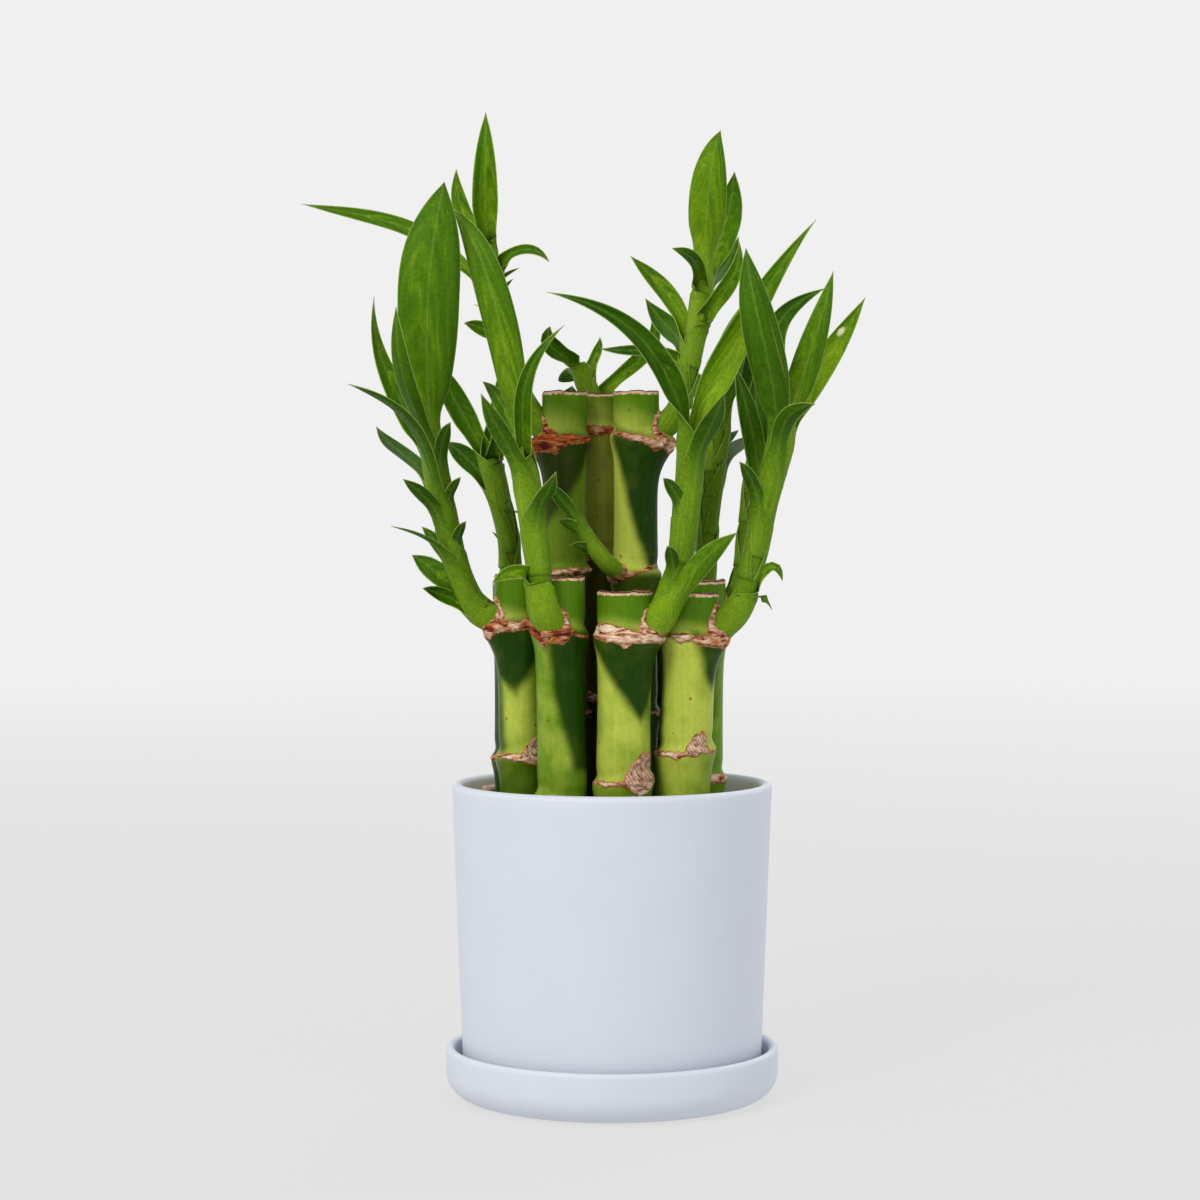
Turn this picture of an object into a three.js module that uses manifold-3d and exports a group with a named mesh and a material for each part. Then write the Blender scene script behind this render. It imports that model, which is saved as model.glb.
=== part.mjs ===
// Lucky bamboo: two tiers of cut canes with leafy side shoots, in a pot of gravel on a saucer.
// Millimetres, +Z up. The origin is the centre of the saucer's underside.
// The viewer of the front stands at -Y, and +X is to the right.

import * as THREE from 'three';
import { mergeVertices } from 'three/addons/utils/BufferGeometryUtils.js';
import Module from 'manifold-3d';

const wasm = await Module();
wasm.setup();

// Clearance between pieces that touch on the real plant
const GAP = 0.3;

// Edges shorter than this, left where leaves cross their stem, are drawn together
const SLIVER = 0.04;

// Saucer
const SAUCER_RADIUS = 43.7;
const SAUCER_HEIGHT = 13.3;
const SAUCER_WALL = 2.4;
const SAUCER_FLOOR = 3.4;
const SAUCER_CORNER = 6.8;

// Pot
const POT_RIM_RADIUS = 42;
const POT_FOOT_RADIUS = 39.2;
const POT_TOP = 82.3;
const POT_WALL = 3;
const POT_FLOOR = 4.6;
const POT_CORNER = 4.4;
const DRAIN_RADIUS = 4.5;
const ROUND_SIDES = 42;

// Gravel
const GRAVEL_LEVEL = 74.5;
const GRAVEL_HEAP = 4.6;
const HEAP_CENTRE = [-27, 12];
const HEAP_SPREAD = 17;
const PEBBLE_SPACING = 5.2;
const PEBBLE_RELIEF = 1.7;
const GRAVEL_RINGS = 6;
const GRAVEL_SIDES = 32;
const GRAVEL_CLEARANCE = 0.45;

// Canes
const CANE_SIDES = 14;
const CANE_FOOT = 33;
const CANE_WAIST = 0.3;
const NODE_BULGE = 0.9;
const NODE_HALF = 3.4;
const ABOVE_NODE = 0.2;
const CUT_BEVEL = 0.5;
const CUT_DISH = 0.7;

// Leaves
const LEAF_THICKNESS = 0.7;
const LEAF_WIDEST = 0.55;
const LEAF_ROOT = 0.34;
const LEAF_OPENING = 1.15;
const LEAF_CLOSING = 1.1;
const SLENDER_FALL = 1.4;
const SLENDER_WIDEST = 0.3;
const FULLER_FALL = 4.4;
const LEAF_STEP = 14;
const LEAF_TURN = 0.3;
const LEAF_BOW = 0.1;
const ROOT_DISH = 0.4;
const TIP_DISH = 0.12;
const TIP_HALF = 0.4;
const STEM_SIDES = 8;
const STEM_RINGS = 7;

// Each cane: foot and head are [x, y] of its axis at the foot and at the cut top, nodes are the
// heights of its joint rings, slant is the rise of a ring per millimetre toward the right, and
// top is the height of the cut.
const SHORT_CANES = [
  { foot: [-22, -8.6], head: [-24.4, -8.8], diameter: 12.4, nodes: [90, 124.5], slant: 0.1, top: 137 },
  { foot: [-12.2, -18.2], head: [-13.6, -19.4], diameter: 13.1, nodes: [79, 124], slant: -0.16, top: 136.7 },
  { foot: [2.4, -20.4], head: [3.2, -20.8], diameter: 14.2, nodes: [84.5, 121.5], slant: 0.12, top: 133 },
  { foot: [16.4, -14.6], head: [20.4, -15.4], diameter: 14.2, nodes: [92, 121.5], slant: 0.1, top: 132.4 },
  { foot: [22.2, 1.4], head: [23.4, 1.6], diameter: 13, nodes: [84, 125], slant: -0.1, top: 135.4 },
  { foot: [-24.2, 7.8], head: [-25.2, 8.4], diameter: 13, nodes: [89, 126], slant: 0.14, top: 135 },
  { foot: [12.4, 17.4], head: [13.6, 18.4], diameter: 13.2, nodes: [93, 124], slant: 0.12, top: 134.6 },
  { foot: [-8.8, 23.4], head: [-9.8, 25], diameter: 13, nodes: [87, 125], slant: -0.12, top: 134.6 },
];
const TALL_CANES = [
  {
    foot: [-12.2, 1], head: [-12.4, 1.2], diameter: 11.9, slant: 0.12, top: 184.8,
    nodes: [100, 137.5, 172.6],
  },
  {
    foot: [-2.3, 10.9], head: [-2.6, 11.1], diameter: 11.4, slant: -0.1, top: 184.8,
    nodes: [104, 141, 174.4],
  },
  {
    foot: [5.9, -1.2], head: [6.3, -1.2], diameter: 12, slant: -0.08, top: 184.8,
    nodes: [101, 137.2, 173],
  },
];

// Each shoot: path is its stem from the cane's joint to its last leaf, thick is the stem's
// diameter at both ends. Each leaf: at is the place of its root along the stem, tip its point,
// width its widest, via a point that its midrib passes, face the compass angle that its
// upper side looks to (0 is the viewer, 90 is +X). Without a face it turns to its own stem.
// widest is the share of its length where it is widest.
const SHOOTS = {
  shoot_short_1: {
    path: [[-27, -8.6, 124], [-35, -10, 128.5], [-40, -14, 140], [-43.6, -17, 156], [-46, -19, 169]],
    thick: [5.2, 5.8],
    leaves: [
      { at: 0.97, tip: [-42.5, -24, 236.7], width: 16.4, via: [-46.4, -31, 205], face: 180 },
      { at: 0.84, tip: [-61.8, -6, 209.3], width: 7.8, via: [-58, -11, 188.6], face: 20, widest: 0.26 },
      { at: 0.9, tip: [-53.6, -41, 204], width: 6, via: [-51.4, -35, 184], face: 150 },
      { at: 0.62, tip: [-65.2, -45, 184.6], width: 4.6, via: [-53, -38, 178] },
      { at: 0.72, tip: [-62.6, 10, 176], width: 6.4, via: [-54.6, -2, 168], face: 30 },
      { at: 0.56, tip: [-52.6, -32, 161.4], width: 4, via: [-48.6, -26, 158], face: 180 },
      { at: 0.36, tip: [-55.8, -30, 149.6], width: 3.4, via: [-50, -25, 147.6] },
      { at: 0.3, tip: [-49.4, -8, 149.4], width: 3.8, face: 0 },
      { at: 0.16, tip: [-52.2, -4, 142], width: 6, via: [-46, -8, 137.8], face: 0 },
      { at: 0.1, tip: [-48.6, -18, 133.6], width: 4.2, face: 0 },
      { at: 0.8, tip: [-40.6, -33, 175.6], width: 3.8, face: 180 },
      { at: 0.66, tip: [-38.4, -26, 162], width: 3 },
      { at: 0.44, tip: [-37.2, -24, 150.8], width: 3 },
    ],
  },
  shoot_short_2: {
    path: [
      [-14.6, -22, 122.6],
      [-17.4, -27.4, 129],
      [-19.2, -28.6, 143],
      [-21, -27.4, 156],
      [-22.6, -25, 167],
    ],
    thick: [5.8, 6.4],
    leaves: [
      { at: 0.97, tip: [-41.2, -16, 231], width: 9.2, via: [-27.7, -28, 197.7], face: 180, widest: 0.5 },
      { at: 0.84, tip: [-12, -40, 199.4], width: 4.8, via: [-20.4, -38, 188.8], face: 0, widest: 0.4 },
      { at: 0.78, tip: [-32.4, -47, 182.2], width: 5, via: [-28, -39, 173], face: 180 },
      { at: 0.9, tip: [-33.6, -8, 187], width: 4.4, face: 0 },
      { at: 0.3, tip: [-29.9, -38, 135.6], width: 3.8, via: [-26.4, -36, 137.6], face: 20 },
      { at: 0.6, tip: [-14, -46, 163], width: 5, via: [-17.4, -38, 156] },
    ],
  },
  shoot_short_3: {
    path: [[6.4, -21, 121], [13, -23.4, 128], [17.4, -26.4, 143], [18.8, -27.4, 156], [20.2, -26.4, 170.6]],
    thick: [6, 6.6],
    leaves: [
      { at: 0.95, tip: [-16.3, -42, 207.4], width: 7.6, via: [0.4, -40, 201.4], face: 20, widest: 0.34 },
      { at: 0.97, tip: [52.5, -12, 228.4], width: 8.8, via: [31.8, -21, 197], face: 0, widest: 0.32 },
      { at: 0.62, tip: [12.6, -36, 161.6], width: 3.8, face: 180 },
      { at: 0.3, tip: [13.6, -36, 144.6], width: 3.8, face: 180 },
      { at: 0.14, tip: [30.8, -42, 148], width: 6, via: [21.4, -36, 139.6], face: 150 },
      { at: 0.8, tip: [27, -52, 182], width: 6.4, via: [23.6, -41, 173] },
    ],
  },
  shoot_short_4: {
    path: [[24, -16, 121.4], [32, -17.4, 128.4], [36.4, -18, 142], [39.4, -18, 156.4], [43.4, -18, 171.4]],
    thick: [5.6, 6.2],
    leaves: [
      { at: 0.9, tip: [33.6, -28, 219.6], width: 10, via: [38, -32, 195], face: 180, widest: 0.5 },
      { at: 0.97, tip: [56.2, -21, 214.4], width: 7.8, via: [51.4, -25, 197.6], face: 180, widest: 0.42 },
      { at: 0.93, tip: [66.5, 2, 209.6], width: 6.8, via: [57, -5, 194.6], face: 0, widest: 0.48 },
      { at: 0.86, tip: [57, 14, 213], width: 6.2, via: [45.6, 8, 205.2], face: 0 },
      { at: 0.8, tip: [50.4, -38, 180], width: 5.2, via: [44.9, -32, 177.8], face: 180 },
      { at: 0.55, tip: [32, -5, 191.5], width: 5.8, via: [35.9, -9, 175.4], face: 0 },
      { at: 0.6, tip: [32, -29, 165.8], width: 3.8, face: 180 },
      { at: 0.24, tip: [43.4, -21, 135.6], width: 2.8, via: [41.9, -20.6, 139], face: 0 },
      { at: 0.1, tip: [40.8, -20, 128.2], width: 3, via: [38.7, -20, 131.2] },
    ],
  },
  shoot_short_5: {
    path: [[26, 3.4, 125], [33, 6, 131], [35.8, 8.6, 145], [37.4, 10, 158], [39.4, 11.6, 169]],
    thick: [5.2, 5.6],
    leaves: [
      { at: 0.95, tip: [45, 29, 206], width: 10.4, via: [40, 22, 189] },
      { at: 0.9, tip: [54, 35, 190], width: 9.4, via: [46, 24, 182] },
      { at: 0.8, tip: [38, 16, 190], width: 6.4, via: [38.8, 14, 177], face: 180 },
      { at: 0.55, tip: [42, 37, 164], width: 7.4, via: [40, 24, 160] },
      { at: 0.3, tip: [43, 21, 152], width: 4.6 },
    ],
  },
  shoot_short_6: {
    path: [[-25.6, 12.4, 126.6], [-27, 18, 133], [-27.7, 19.4, 146], [-30.4, 19.6, 158], [-33, 19.6, 168]],
    thick: [5.2, 5.6],
    leaves: [
      { at: 0.9, tip: [-47.4, 25, 195], width: 7, via: [-39.6, 23, 178.6], face: 0 },
      { at: 0.7, tip: [-45, 33, 172.6], width: 6, via: [-38, 25, 166.6], face: 0 },
      { at: 0.9, tip: [-27.4, 12, 183], width: 5.4, via: [-29.8, 16, 173], face: 0 },
      { at: 0.97, tip: [-30.4, 36, 209], width: 6.4, via: [-28.2, 30, 189] },
      { at: 0.5, tip: [-32, 56, 166], width: 4.6, via: [-30.8, 40, 160] },
      { at: 0.22, tip: [-32.3, 22, 148], width: 3.4 },
    ],
  },
  shoot_short_7: {
    path: [[17, 19, 124.6], [23.6, 20.6, 130], [25.6, 21.4, 143], [26.6, 22.6, 156], [29.4, 25, 176]],
    thick: [5.2, 5.4],
    leaves: [
      { at: 0.96, tip: [37, 46, 212], width: 11.4, via: [33.4, 39, 194] },
      { at: 0.92, tip: [14, 52, 198], width: 10.4, via: [23, 42, 188] },
      { at: 0.7, tip: [46, 55, 176], width: 8.4, via: [37, 41, 172] },
      { at: 0.5, tip: [20, 57, 166], width: 8, via: [24, 40, 162] },
      { at: 0.8, tip: [34.8, 34, 175.8], width: 4 },
      { at: 0.34, tip: [31.4, 31, 143.4], width: 4 },
    ],
  },
  shoot_short_8: {
    path: [
      [-10.6, 29, 125.4],
      [-12.6, 34.4, 132],
      [-13.2, 36.4, 145],
      [-13.4, 37.6, 158],
      [-13, 38.6, 168],
    ],
    thick: [5.2, 5.8],
    leaves: [
      { at: 0.97, tip: [-11, 57, 189], width: 11, via: [-12.4, 49, 181] },
      { at: 0.92, tip: [9, 61, 183], width: 9.6, via: [-4, 50, 178] },
      { at: 0.85, tip: [-33, 57, 181], width: 9.8, via: [-22, 48, 176] },
      { at: 0.6, tip: [-6, 67, 161], width: 8, via: [-10, 51, 159] },
      { at: 0.4, tip: [-30, 55, 153], width: 6.6, via: [-20, 45, 151] },
      { at: 0.26, tip: [-8, 45, 147], width: 4.4 },
    ],
  },
  shoot_tall_1: {
    path: [[-16, 1.4, 172.6], [-21.6, 2.2, 180], [-27, 4.4, 194], [-30.4, 6.6, 208], [-33, 8, 222]],
    thick: [5, 4.8],
    leaves: [
      { at: 0.92, tip: [-33.1, 2, 258], width: 7.2, via: [-33.2, -1, 240.6], face: 0, widest: 0.42 },
      { at: 0.9, tip: [-31.6, 16, 250.2], width: 5.2, via: [-32.9, 14, 235], face: 0, widest: 0.45 },
      { at: 0.85, tip: [-41.4, 14, 244.6], width: 4.8, via: [-39.8, 12, 233.4], face: 0 },
      { at: 0.7, tip: [-84.1, 27, 236.8], width: 4.8, via: [-67, 25, 233.4], face: 0, widest: 0.5 },
      { at: 0.86, tip: [-16.4, -3, 218.4], width: 3, via: [-22.9, 1, 222], face: 0 },
      { at: 0.8, tip: [-24.4, 1, 217.2], width: 2.4 },
      { at: 0.72, tip: [-26, 4, 214.6], width: 2.4 },
      { at: 0.5, tip: [-39, 4, 203], width: 4.2, face: 0 },
      { at: 0.6, tip: [-36.2, 4, 207.9], width: 2.8 },
    ],
  },
  shoot_tall_2: {
    path: [[-3, 13.6, 175], [-4.6, 17, 180], [-6, 17.6, 185], [-7.4, 17.6, 189], [-8.4, 17.6, 193]],
    thick: [4.8, 4.6],
    leaves: [
      { at: 0.95, tip: [-16.4, 12, 202.7], width: 5.4, via: [-12.2, 15, 194.6], face: 0 },
      { at: 0.7, tip: [-3.2, 24, 200.6], width: 2.8, via: [-5.2, 20, 193.4], face: 0 },
      { at: 0.4, tip: [-14, 40, 190], width: 4, via: [-9, 28, 190] },
      { at: 0.3, tip: [11, 36, 208], width: 4.6, via: [8.3, 27.6, 195.4], face: 0 },
      { at: 0.85, tip: [-14, 37, 190], width: 6, via: [-11, 28, 190] },
    ],
  },
  shoot_tall_3: {
    path: [[9.6, -1.6, 172.6], [16.4, -1, 178.6], [20.4, 2, 192], [22.6, 5, 204], [24.2, 7, 214]],
    thick: [5.2, 5],
    leaves: [
      { at: 0.97, tip: [28.5, 3, 253.3], width: 10.4, via: [24.8, 1, 231], face: 180, widest: 0.5 },
      { at: 0.92, tip: [33.2, 25, 245.3], width: 8.8, via: [29, 19, 226], face: 0 },
      { at: 0.88, tip: [15.4, -9, 221.4], width: 4.6, via: [20.8, -4, 219], face: 0 },
      { at: 0.54, tip: [5, 17, 221.8], width: 5.2, via: [12.2, 14, 214.4], face: 0 },
      { at: 0.44, tip: [9.2, 31, 211.6], width: 6.4, via: [15.4, 21, 202.8], face: 0 },
      { at: 0.45, tip: [-3.1, 10, 196.6], width: 3.2, via: [6, 8, 196], face: 0 },
      { at: 0.82, tip: [35, 37, 229], width: 6.6, via: [29.6, 26, 218] },
      { at: 0.66, tip: [33.2, -2, 223.7], width: 5, via: [30.2, -3, 212], face: 0, widest: 0.45 },
    ],
  },
  shoot_low: {
    path: [[3.6, -6.4, 137], [0, -9.6, 139], [-3, -11, 142], [-5.4, -11.4, 145.6], [-7.4, -11.4, 149]],
    thick: [3.8, 3.4],
    leaves: [
      { at: 0.95, tip: [-16.8, -13, 161], width: 4, via: [-12.4, -12.8, 155.6], face: 180 },
      { at: 0.72, tip: [-14, -15.6, 151], width: 3.4, face: 180 },
      { at: 0.8, tip: [-10.2, -9.6, 154.6], width: 3, face: 180 },
      { at: 0.4, tip: [-10.8, -14.6, 144.6], width: 3, face: 180 },
    ],
  },
};

// Every finish is a plain standard material of the piece's own colour.
function material(color, roughness) {
  return new THREE.MeshStandardMaterial({ color, roughness, metalness: 0 });
}

function matteCeramic() {
  return material('#cbd1dc', 0.62);
}

function pebbles() {
  return material('#b39a84', 0.9);
}

function caneSkin() {
  return material('#9fba3c', 0.42);
}

function leafGreen() {
  return material('#4e8a12', 0.45);
}

// A closed geometry from rings of points: neighbouring rings are joined by pairs of triangles,
// and a fan to the ring's middle closes each end. Rings run counterclockwise about the travel.
// The second half of each ring is split the other way, so that the two faces of a twisted
// blade stay parallel.
function loft(rings) {
  const count = rings[0].length;
  const positions = rings.flat().flatMap((p) => [p.x, p.y, p.z]);
  const indices = [];
  for (let k = 0; k + 1 < rings.length; k += 1) {
    for (let i = 0; i < count; i += 1) {
      const j = (i + 1) % count;
      const a = k * count + i;
      const b = k * count + j;
      if (i < count / 2) {
        indices.push(a, b, b + count, a, b + count, a + count);
      } else {
        indices.push(a, b, a + count, b, b + count, a + count);
      }
    }
  }
  for (const [ring, first] of [[rings[0], 0], [rings.at(-1), (rings.length - 1) * count]]) {
    const middle = ring.reduce((sum, p) => sum.add(p), new THREE.Vector3()).divideScalar(count);
    const hub = positions.length / 3;
    positions.push(middle.x, middle.y, middle.z);
    for (let i = 0; i < count; i += 1) {
      const j = (i + 1) % count;
      indices.push(...(first === 0 ? [hub, first + j, first + i] : [hub, first + i, first + j]));
    }
  }
  const geometry = new THREE.BufferGeometry();
  geometry.setAttribute('position', new THREE.Float32BufferAttribute(positions, 3));
  geometry.setIndex(indices);
  return geometry;
}

// Carries a closed three.js geometry into a solid that can be joined and cut.
function solidOf(geometry) {
  const bare = geometry.clone();
  bare.deleteAttribute('normal');
  bare.deleteAttribute('uv');
  const merged = mergeVertices(bare, 1e-4);
  const mesh = new wasm.Mesh({
    numProp: 3,
    vertProperties: new Float32Array(merged.attributes.position.array),
    triVerts: new Uint32Array(merged.index.array),
  });
  return new wasm.Manifold(mesh);
}

// Carries a solid back into a three.js geometry.
function geometryOf(solid) {
  const { vertProperties, triVerts } = solid.getMesh();
  const geometry = new THREE.BufferGeometry();
  geometry.setAttribute('position', new THREE.BufferAttribute(new Float32Array(vertProperties), 3));
  geometry.setIndex(new THREE.BufferAttribute(new Uint32Array(triVerts), 1));
  geometry.computeVertexNormals();
  return geometry;
}

// A body of revolution about Z from [radius, height] points.
function turned(points, sides) {
  const profile = points.map(([radius, height]) => new THREE.Vector2(radius, height));
  return new THREE.LatheGeometry(profile, sides).rotateX(Math.PI / 2);
}

// Points of a quarter round, by its centre, radius and the angles in degrees where it runs.
function arc([x, z], radius, from, to, steps) {
  return Array.from({ length: steps + 1 }, (_, i) => {
    const angle = THREE.MathUtils.degToRad(from + ((to - from) * i) / steps);
    return [x + radius * Math.cos(angle), z + radius * Math.sin(angle)];
  });
}

// The saucer is a shallow dish with a flat underside, a rounded corner and an upright wall.
function saucerGeometry() {
  const inner = SAUCER_CORNER - SAUCER_WALL;
  const centre = [SAUCER_RADIUS - SAUCER_CORNER, SAUCER_CORNER];
  const innerCentre = [centre[0], SAUCER_FLOOR + inner];
  const lip = SAUCER_WALL / 2;
  return turned([
    [0, 0],
    ...arc(centre, SAUCER_CORNER, -90, 0, 4),
    ...arc([SAUCER_RADIUS - lip, SAUCER_HEIGHT - lip], lip, 0, 180, 4),
    ...arc(innerCentre, inner, 0, -90, 3),
    [0, SAUCER_FLOOR],
  ], ROUND_SIDES);
}

const POT_BASE = SAUCER_FLOOR + GAP;
const POT_INNER_FLOOR = POT_BASE + POT_FLOOR;
const POT_INNER_CORNER = POT_CORNER - 1;

// Outer radius of the pot's straight wall at a height.
function potRadius(z) {
  const low = POT_BASE + POT_CORNER;
  const share = (z - low) / (POT_TOP - low);
  return THREE.MathUtils.lerp(POT_FOOT_RADIUS, POT_RIM_RADIUS, share);
}

// Inside profile of the pot from below the lip down to the floor, moved inward by a clearance.
function potInside(top, clearance) {
  const shift = POT_WALL + clearance;
  const low = POT_INNER_FLOOR + clearance + POT_INNER_CORNER;
  const corner = [potRadius(low) - shift - POT_INNER_CORNER, low];
  return [
    [potRadius(top) - shift, top],
    ...arc(corner, POT_INNER_CORNER, 0, -90, 3),
  ];
}

// The pot widens evenly from a rounded foot to a rounded lip, with a drain hole in its floor.
function potGeometry() {
  const corner = [POT_FOOT_RADIUS - POT_CORNER, POT_BASE + POT_CORNER];
  const lip = POT_WALL / 2;
  return turned([
    [DRAIN_RADIUS, POT_BASE],
    ...arc(corner, POT_CORNER, -90, 0, 3),
    ...arc([POT_RIM_RADIUS - lip, POT_TOP - lip], lip, 0, 180, 4),
    ...potInside(POT_TOP - lip * 2, 0),
    [DRAIN_RADIUS, POT_INNER_FLOOR],
    [DRAIN_RADIUS, POT_BASE],
  ], ROUND_SIDES);
}

// Height of the gravel: level, with a heap at the back left and round pebbles in relief.
function gravelHeight(x, y) {
  const away = Math.hypot(x - HEAP_CENTRE[0], y - HEAP_CENTRE[1]) / HEAP_SPREAD;
  const heap = GRAVEL_HEAP * Math.exp(-away * away);
  const row = y / (PEBBLE_SPACING * Math.sin(Math.PI / 3));
  const shift = Math.round(row) % 2 === 0 ? 0 : 0.5;
  const across = Math.cos(2 * Math.PI * (x / PEBBLE_SPACING + shift));
  const along = Math.cos(2 * Math.PI * row);
  return GRAVEL_LEVEL + heap + (PEBBLE_RELIEF / 4) * (across + along);
}

// The gravel fills the pot from its floor, and each cane stands in a plain hole in it.
function gravelGeometry() {
  const wall = potInside(GRAVEL_LEVEL, GRAVEL_CLEARANCE).reverse();
  const edge = wall.at(-1)[0];
  const rings = Array.from({ length: GRAVEL_RINGS }, (_, i) => {
    return [edge * (1 - (i + 1) / GRAVEL_RINGS), GRAVEL_LEVEL];
  });
  const bed = turned([[0, wall[0][1]], ...wall, ...rings], GRAVEL_SIDES);
  const position = bed.attributes.position;
  for (let i = 0; i < position.count; i += 1) {
    if (position.getZ(i) > GRAVEL_LEVEL - 1e-3) {
      position.setZ(i, gravelHeight(position.getX(i), position.getY(i)));
    }
  }
  const canes = [...SHORT_CANES, ...TALL_CANES];
  const holes = canes.map((cane) => solidOf(leaned(boreProfile(cane), cane)));
  return geometryOf(solidOf(bed).subtract(wasm.Manifold.union(holes)));
}

// A plain round bore that clears a cane from just below its foot to above the gravel.
function boreProfile(cane) {
  const radius = cane.diameter / 2 + GAP * 1.1;
  return [[0, CANE_FOOT - GAP], [radius, CANE_FOOT - GAP], [radius, POT_TOP], [0, POT_TOP]];
}

// Profile of a cane: waisted between its joint rings, cut flat and slightly dished on top.
function caneProfile(cane, growth) {
  const radius = cane.diameter / 2 + growth;
  const points = [[0, CANE_FOOT - growth], [radius, CANE_FOOT - growth]];
  let below = CANE_FOOT;
  for (const height of cane.nodes) {
    points.push([radius - CANE_WAIST, (below + height) / 2]);
    points.push([radius, height - NODE_HALF]);
    points.push([radius + NODE_BULGE, height - NODE_HALF / 3]);
    points.push([radius + NODE_BULGE * 0.8, height + NODE_HALF / 3]);
    points.push([radius - ABOVE_NODE, height + NODE_HALF * 0.8]);
    below = height;
  }
  points.push([radius, cane.top - CUT_BEVEL]);
  points.push([radius - CUT_BEVEL, cane.top + growth]);
  points.push([0, cane.top + growth - CUT_DISH]);
  return points;
}

// Turns a profile about Z, then leans it along the cane's own axis from foot to head.
function leaned(profile, cane) {
  const geometry = turned(profile, CANE_SIDES);
  const position = geometry.attributes.position;
  for (let i = 0; i < position.count; i += 1) {
    const z = position.getZ(i);
    const share = (z - CANE_FOOT) / (cane.top - CANE_FOOT);
    const nearNode = cane.nodes.some((height) => Math.abs(z - height) < NODE_HALF * 1.01);
    const rise = nearNode ? position.getX(i) * cane.slant : 0;
    position.setXYZ(
      i,
      position.getX(i) + THREE.MathUtils.lerp(cane.foot[0], cane.head[0], share),
      position.getY(i) + THREE.MathUtils.lerp(cane.foot[1], cane.head[1], share),
      z + rise,
    );
  }
  return geometry;
}

// One cut cane, grown on every side by an amount where a clearance body is wanted.
function caneGeometry(cane, growth = 0) {
  return leaned(caneProfile(cane, growth), cane);
}

const UP = new THREE.Vector3(0, 0, 1);

function vector([x, y, z]) {
  return new THREE.Vector3(x, y, z);
}

// Direction on the ground at a compass angle, 0 toward the viewer and 90 toward +X.
function compass(degrees) {
  const angle = THREE.MathUtils.degToRad(degrees);
  return new THREE.Vector3(Math.sin(angle), -Math.cos(angle), 0);
}

// The part of a vector square to an axis, at unit length.
function squareTo(v, axis) {
  return v.clone().addScaledVector(axis, -v.dot(axis)).normalize();
}

// The stem's curve is a smooth line through the points of its path.
function stemCurve(shoot) {
  return new THREE.CatmullRomCurve3(shoot.path.map(vector), false, 'centripetal');
}

// Round tapering stem along its curve.
function stemGeometry(shoot) {
  const curve = stemCurve(shoot);
  const rings = Array.from({ length: STEM_RINGS }, (_, k) => {
    const t = k / (STEM_RINGS - 1);
    const centre = curve.getPointAt(t);
    const along = curve.getTangentAt(t);
    const side = squareTo(new THREE.Vector3(1, 0, 0), along);
    const front = along.clone().cross(side);
    const radius = THREE.MathUtils.lerp(shoot.thick[0], shoot.thick[1], t) / 2;
    return Array.from({ length: STEM_SIDES }, (__, i) => {
      const angle = (2 * Math.PI * i) / STEM_SIDES;
      const spoke = side.clone().multiplyScalar(radius * Math.cos(angle));
      return spoke.addScaledVector(front, radius * Math.sin(angle)).add(centre);
    });
  });
  return loft(rings);
}

// Midrib of a leaf: a curve that leaves along the stem, passes the via point and ends at the
// tip. Without a via point the midrib bows a tenth of its length toward the stem.
function midrib(root, along, leaf) {
  const tip = vector(leaf.tip);
  const chord = tip.clone().sub(root);
  const reach = chord.length();
  const middle = root.clone().add(tip).multiplyScalar(0.5);
  const bowed = middle.addScaledVector(squareTo(along, chord.clone().normalize()), reach * LEAF_BOW);
  const via = leaf.via ? vector(leaf.via) : bowed;
  const near = via.distanceTo(root);
  const t = near / (near + tip.distanceTo(via));
  const s = 1 - t;
  const start = via.clone().sub(root).normalize().add(along).normalize();
  const first = root.clone().addScaledVector(start, near * 0.6);
  const second = via.clone().addScaledVector(root, -(s ** 3)).addScaledVector(tip, -(t ** 3));
  second.addScaledVector(first, -3 * s * s * t).divideScalar(3 * s * t * t);
  return new THREE.CubicBezierCurve3(root, first, second, tip);
}

// Share of a blade's full width at a share of its length: it opens from a narrow root to its
// widest place and draws in to a fine point. The later the widest place, the fuller the end.
function bladeShare(t, widest) {
  if (t < widest) {
    const rise = Math.sin(((Math.PI / 2) * t) / widest);
    return LEAF_ROOT + (1 - LEAF_ROOT) * rise ** LEAF_OPENING;
  }
  const fall = (t - widest) / (1 - widest);
  const power = SLENDER_FALL + FULLER_FALL * Math.max(widest - SLENDER_WIDEST, 0);
  return (1 - fall ** power) ** LEAF_CLOSING;
}

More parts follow.
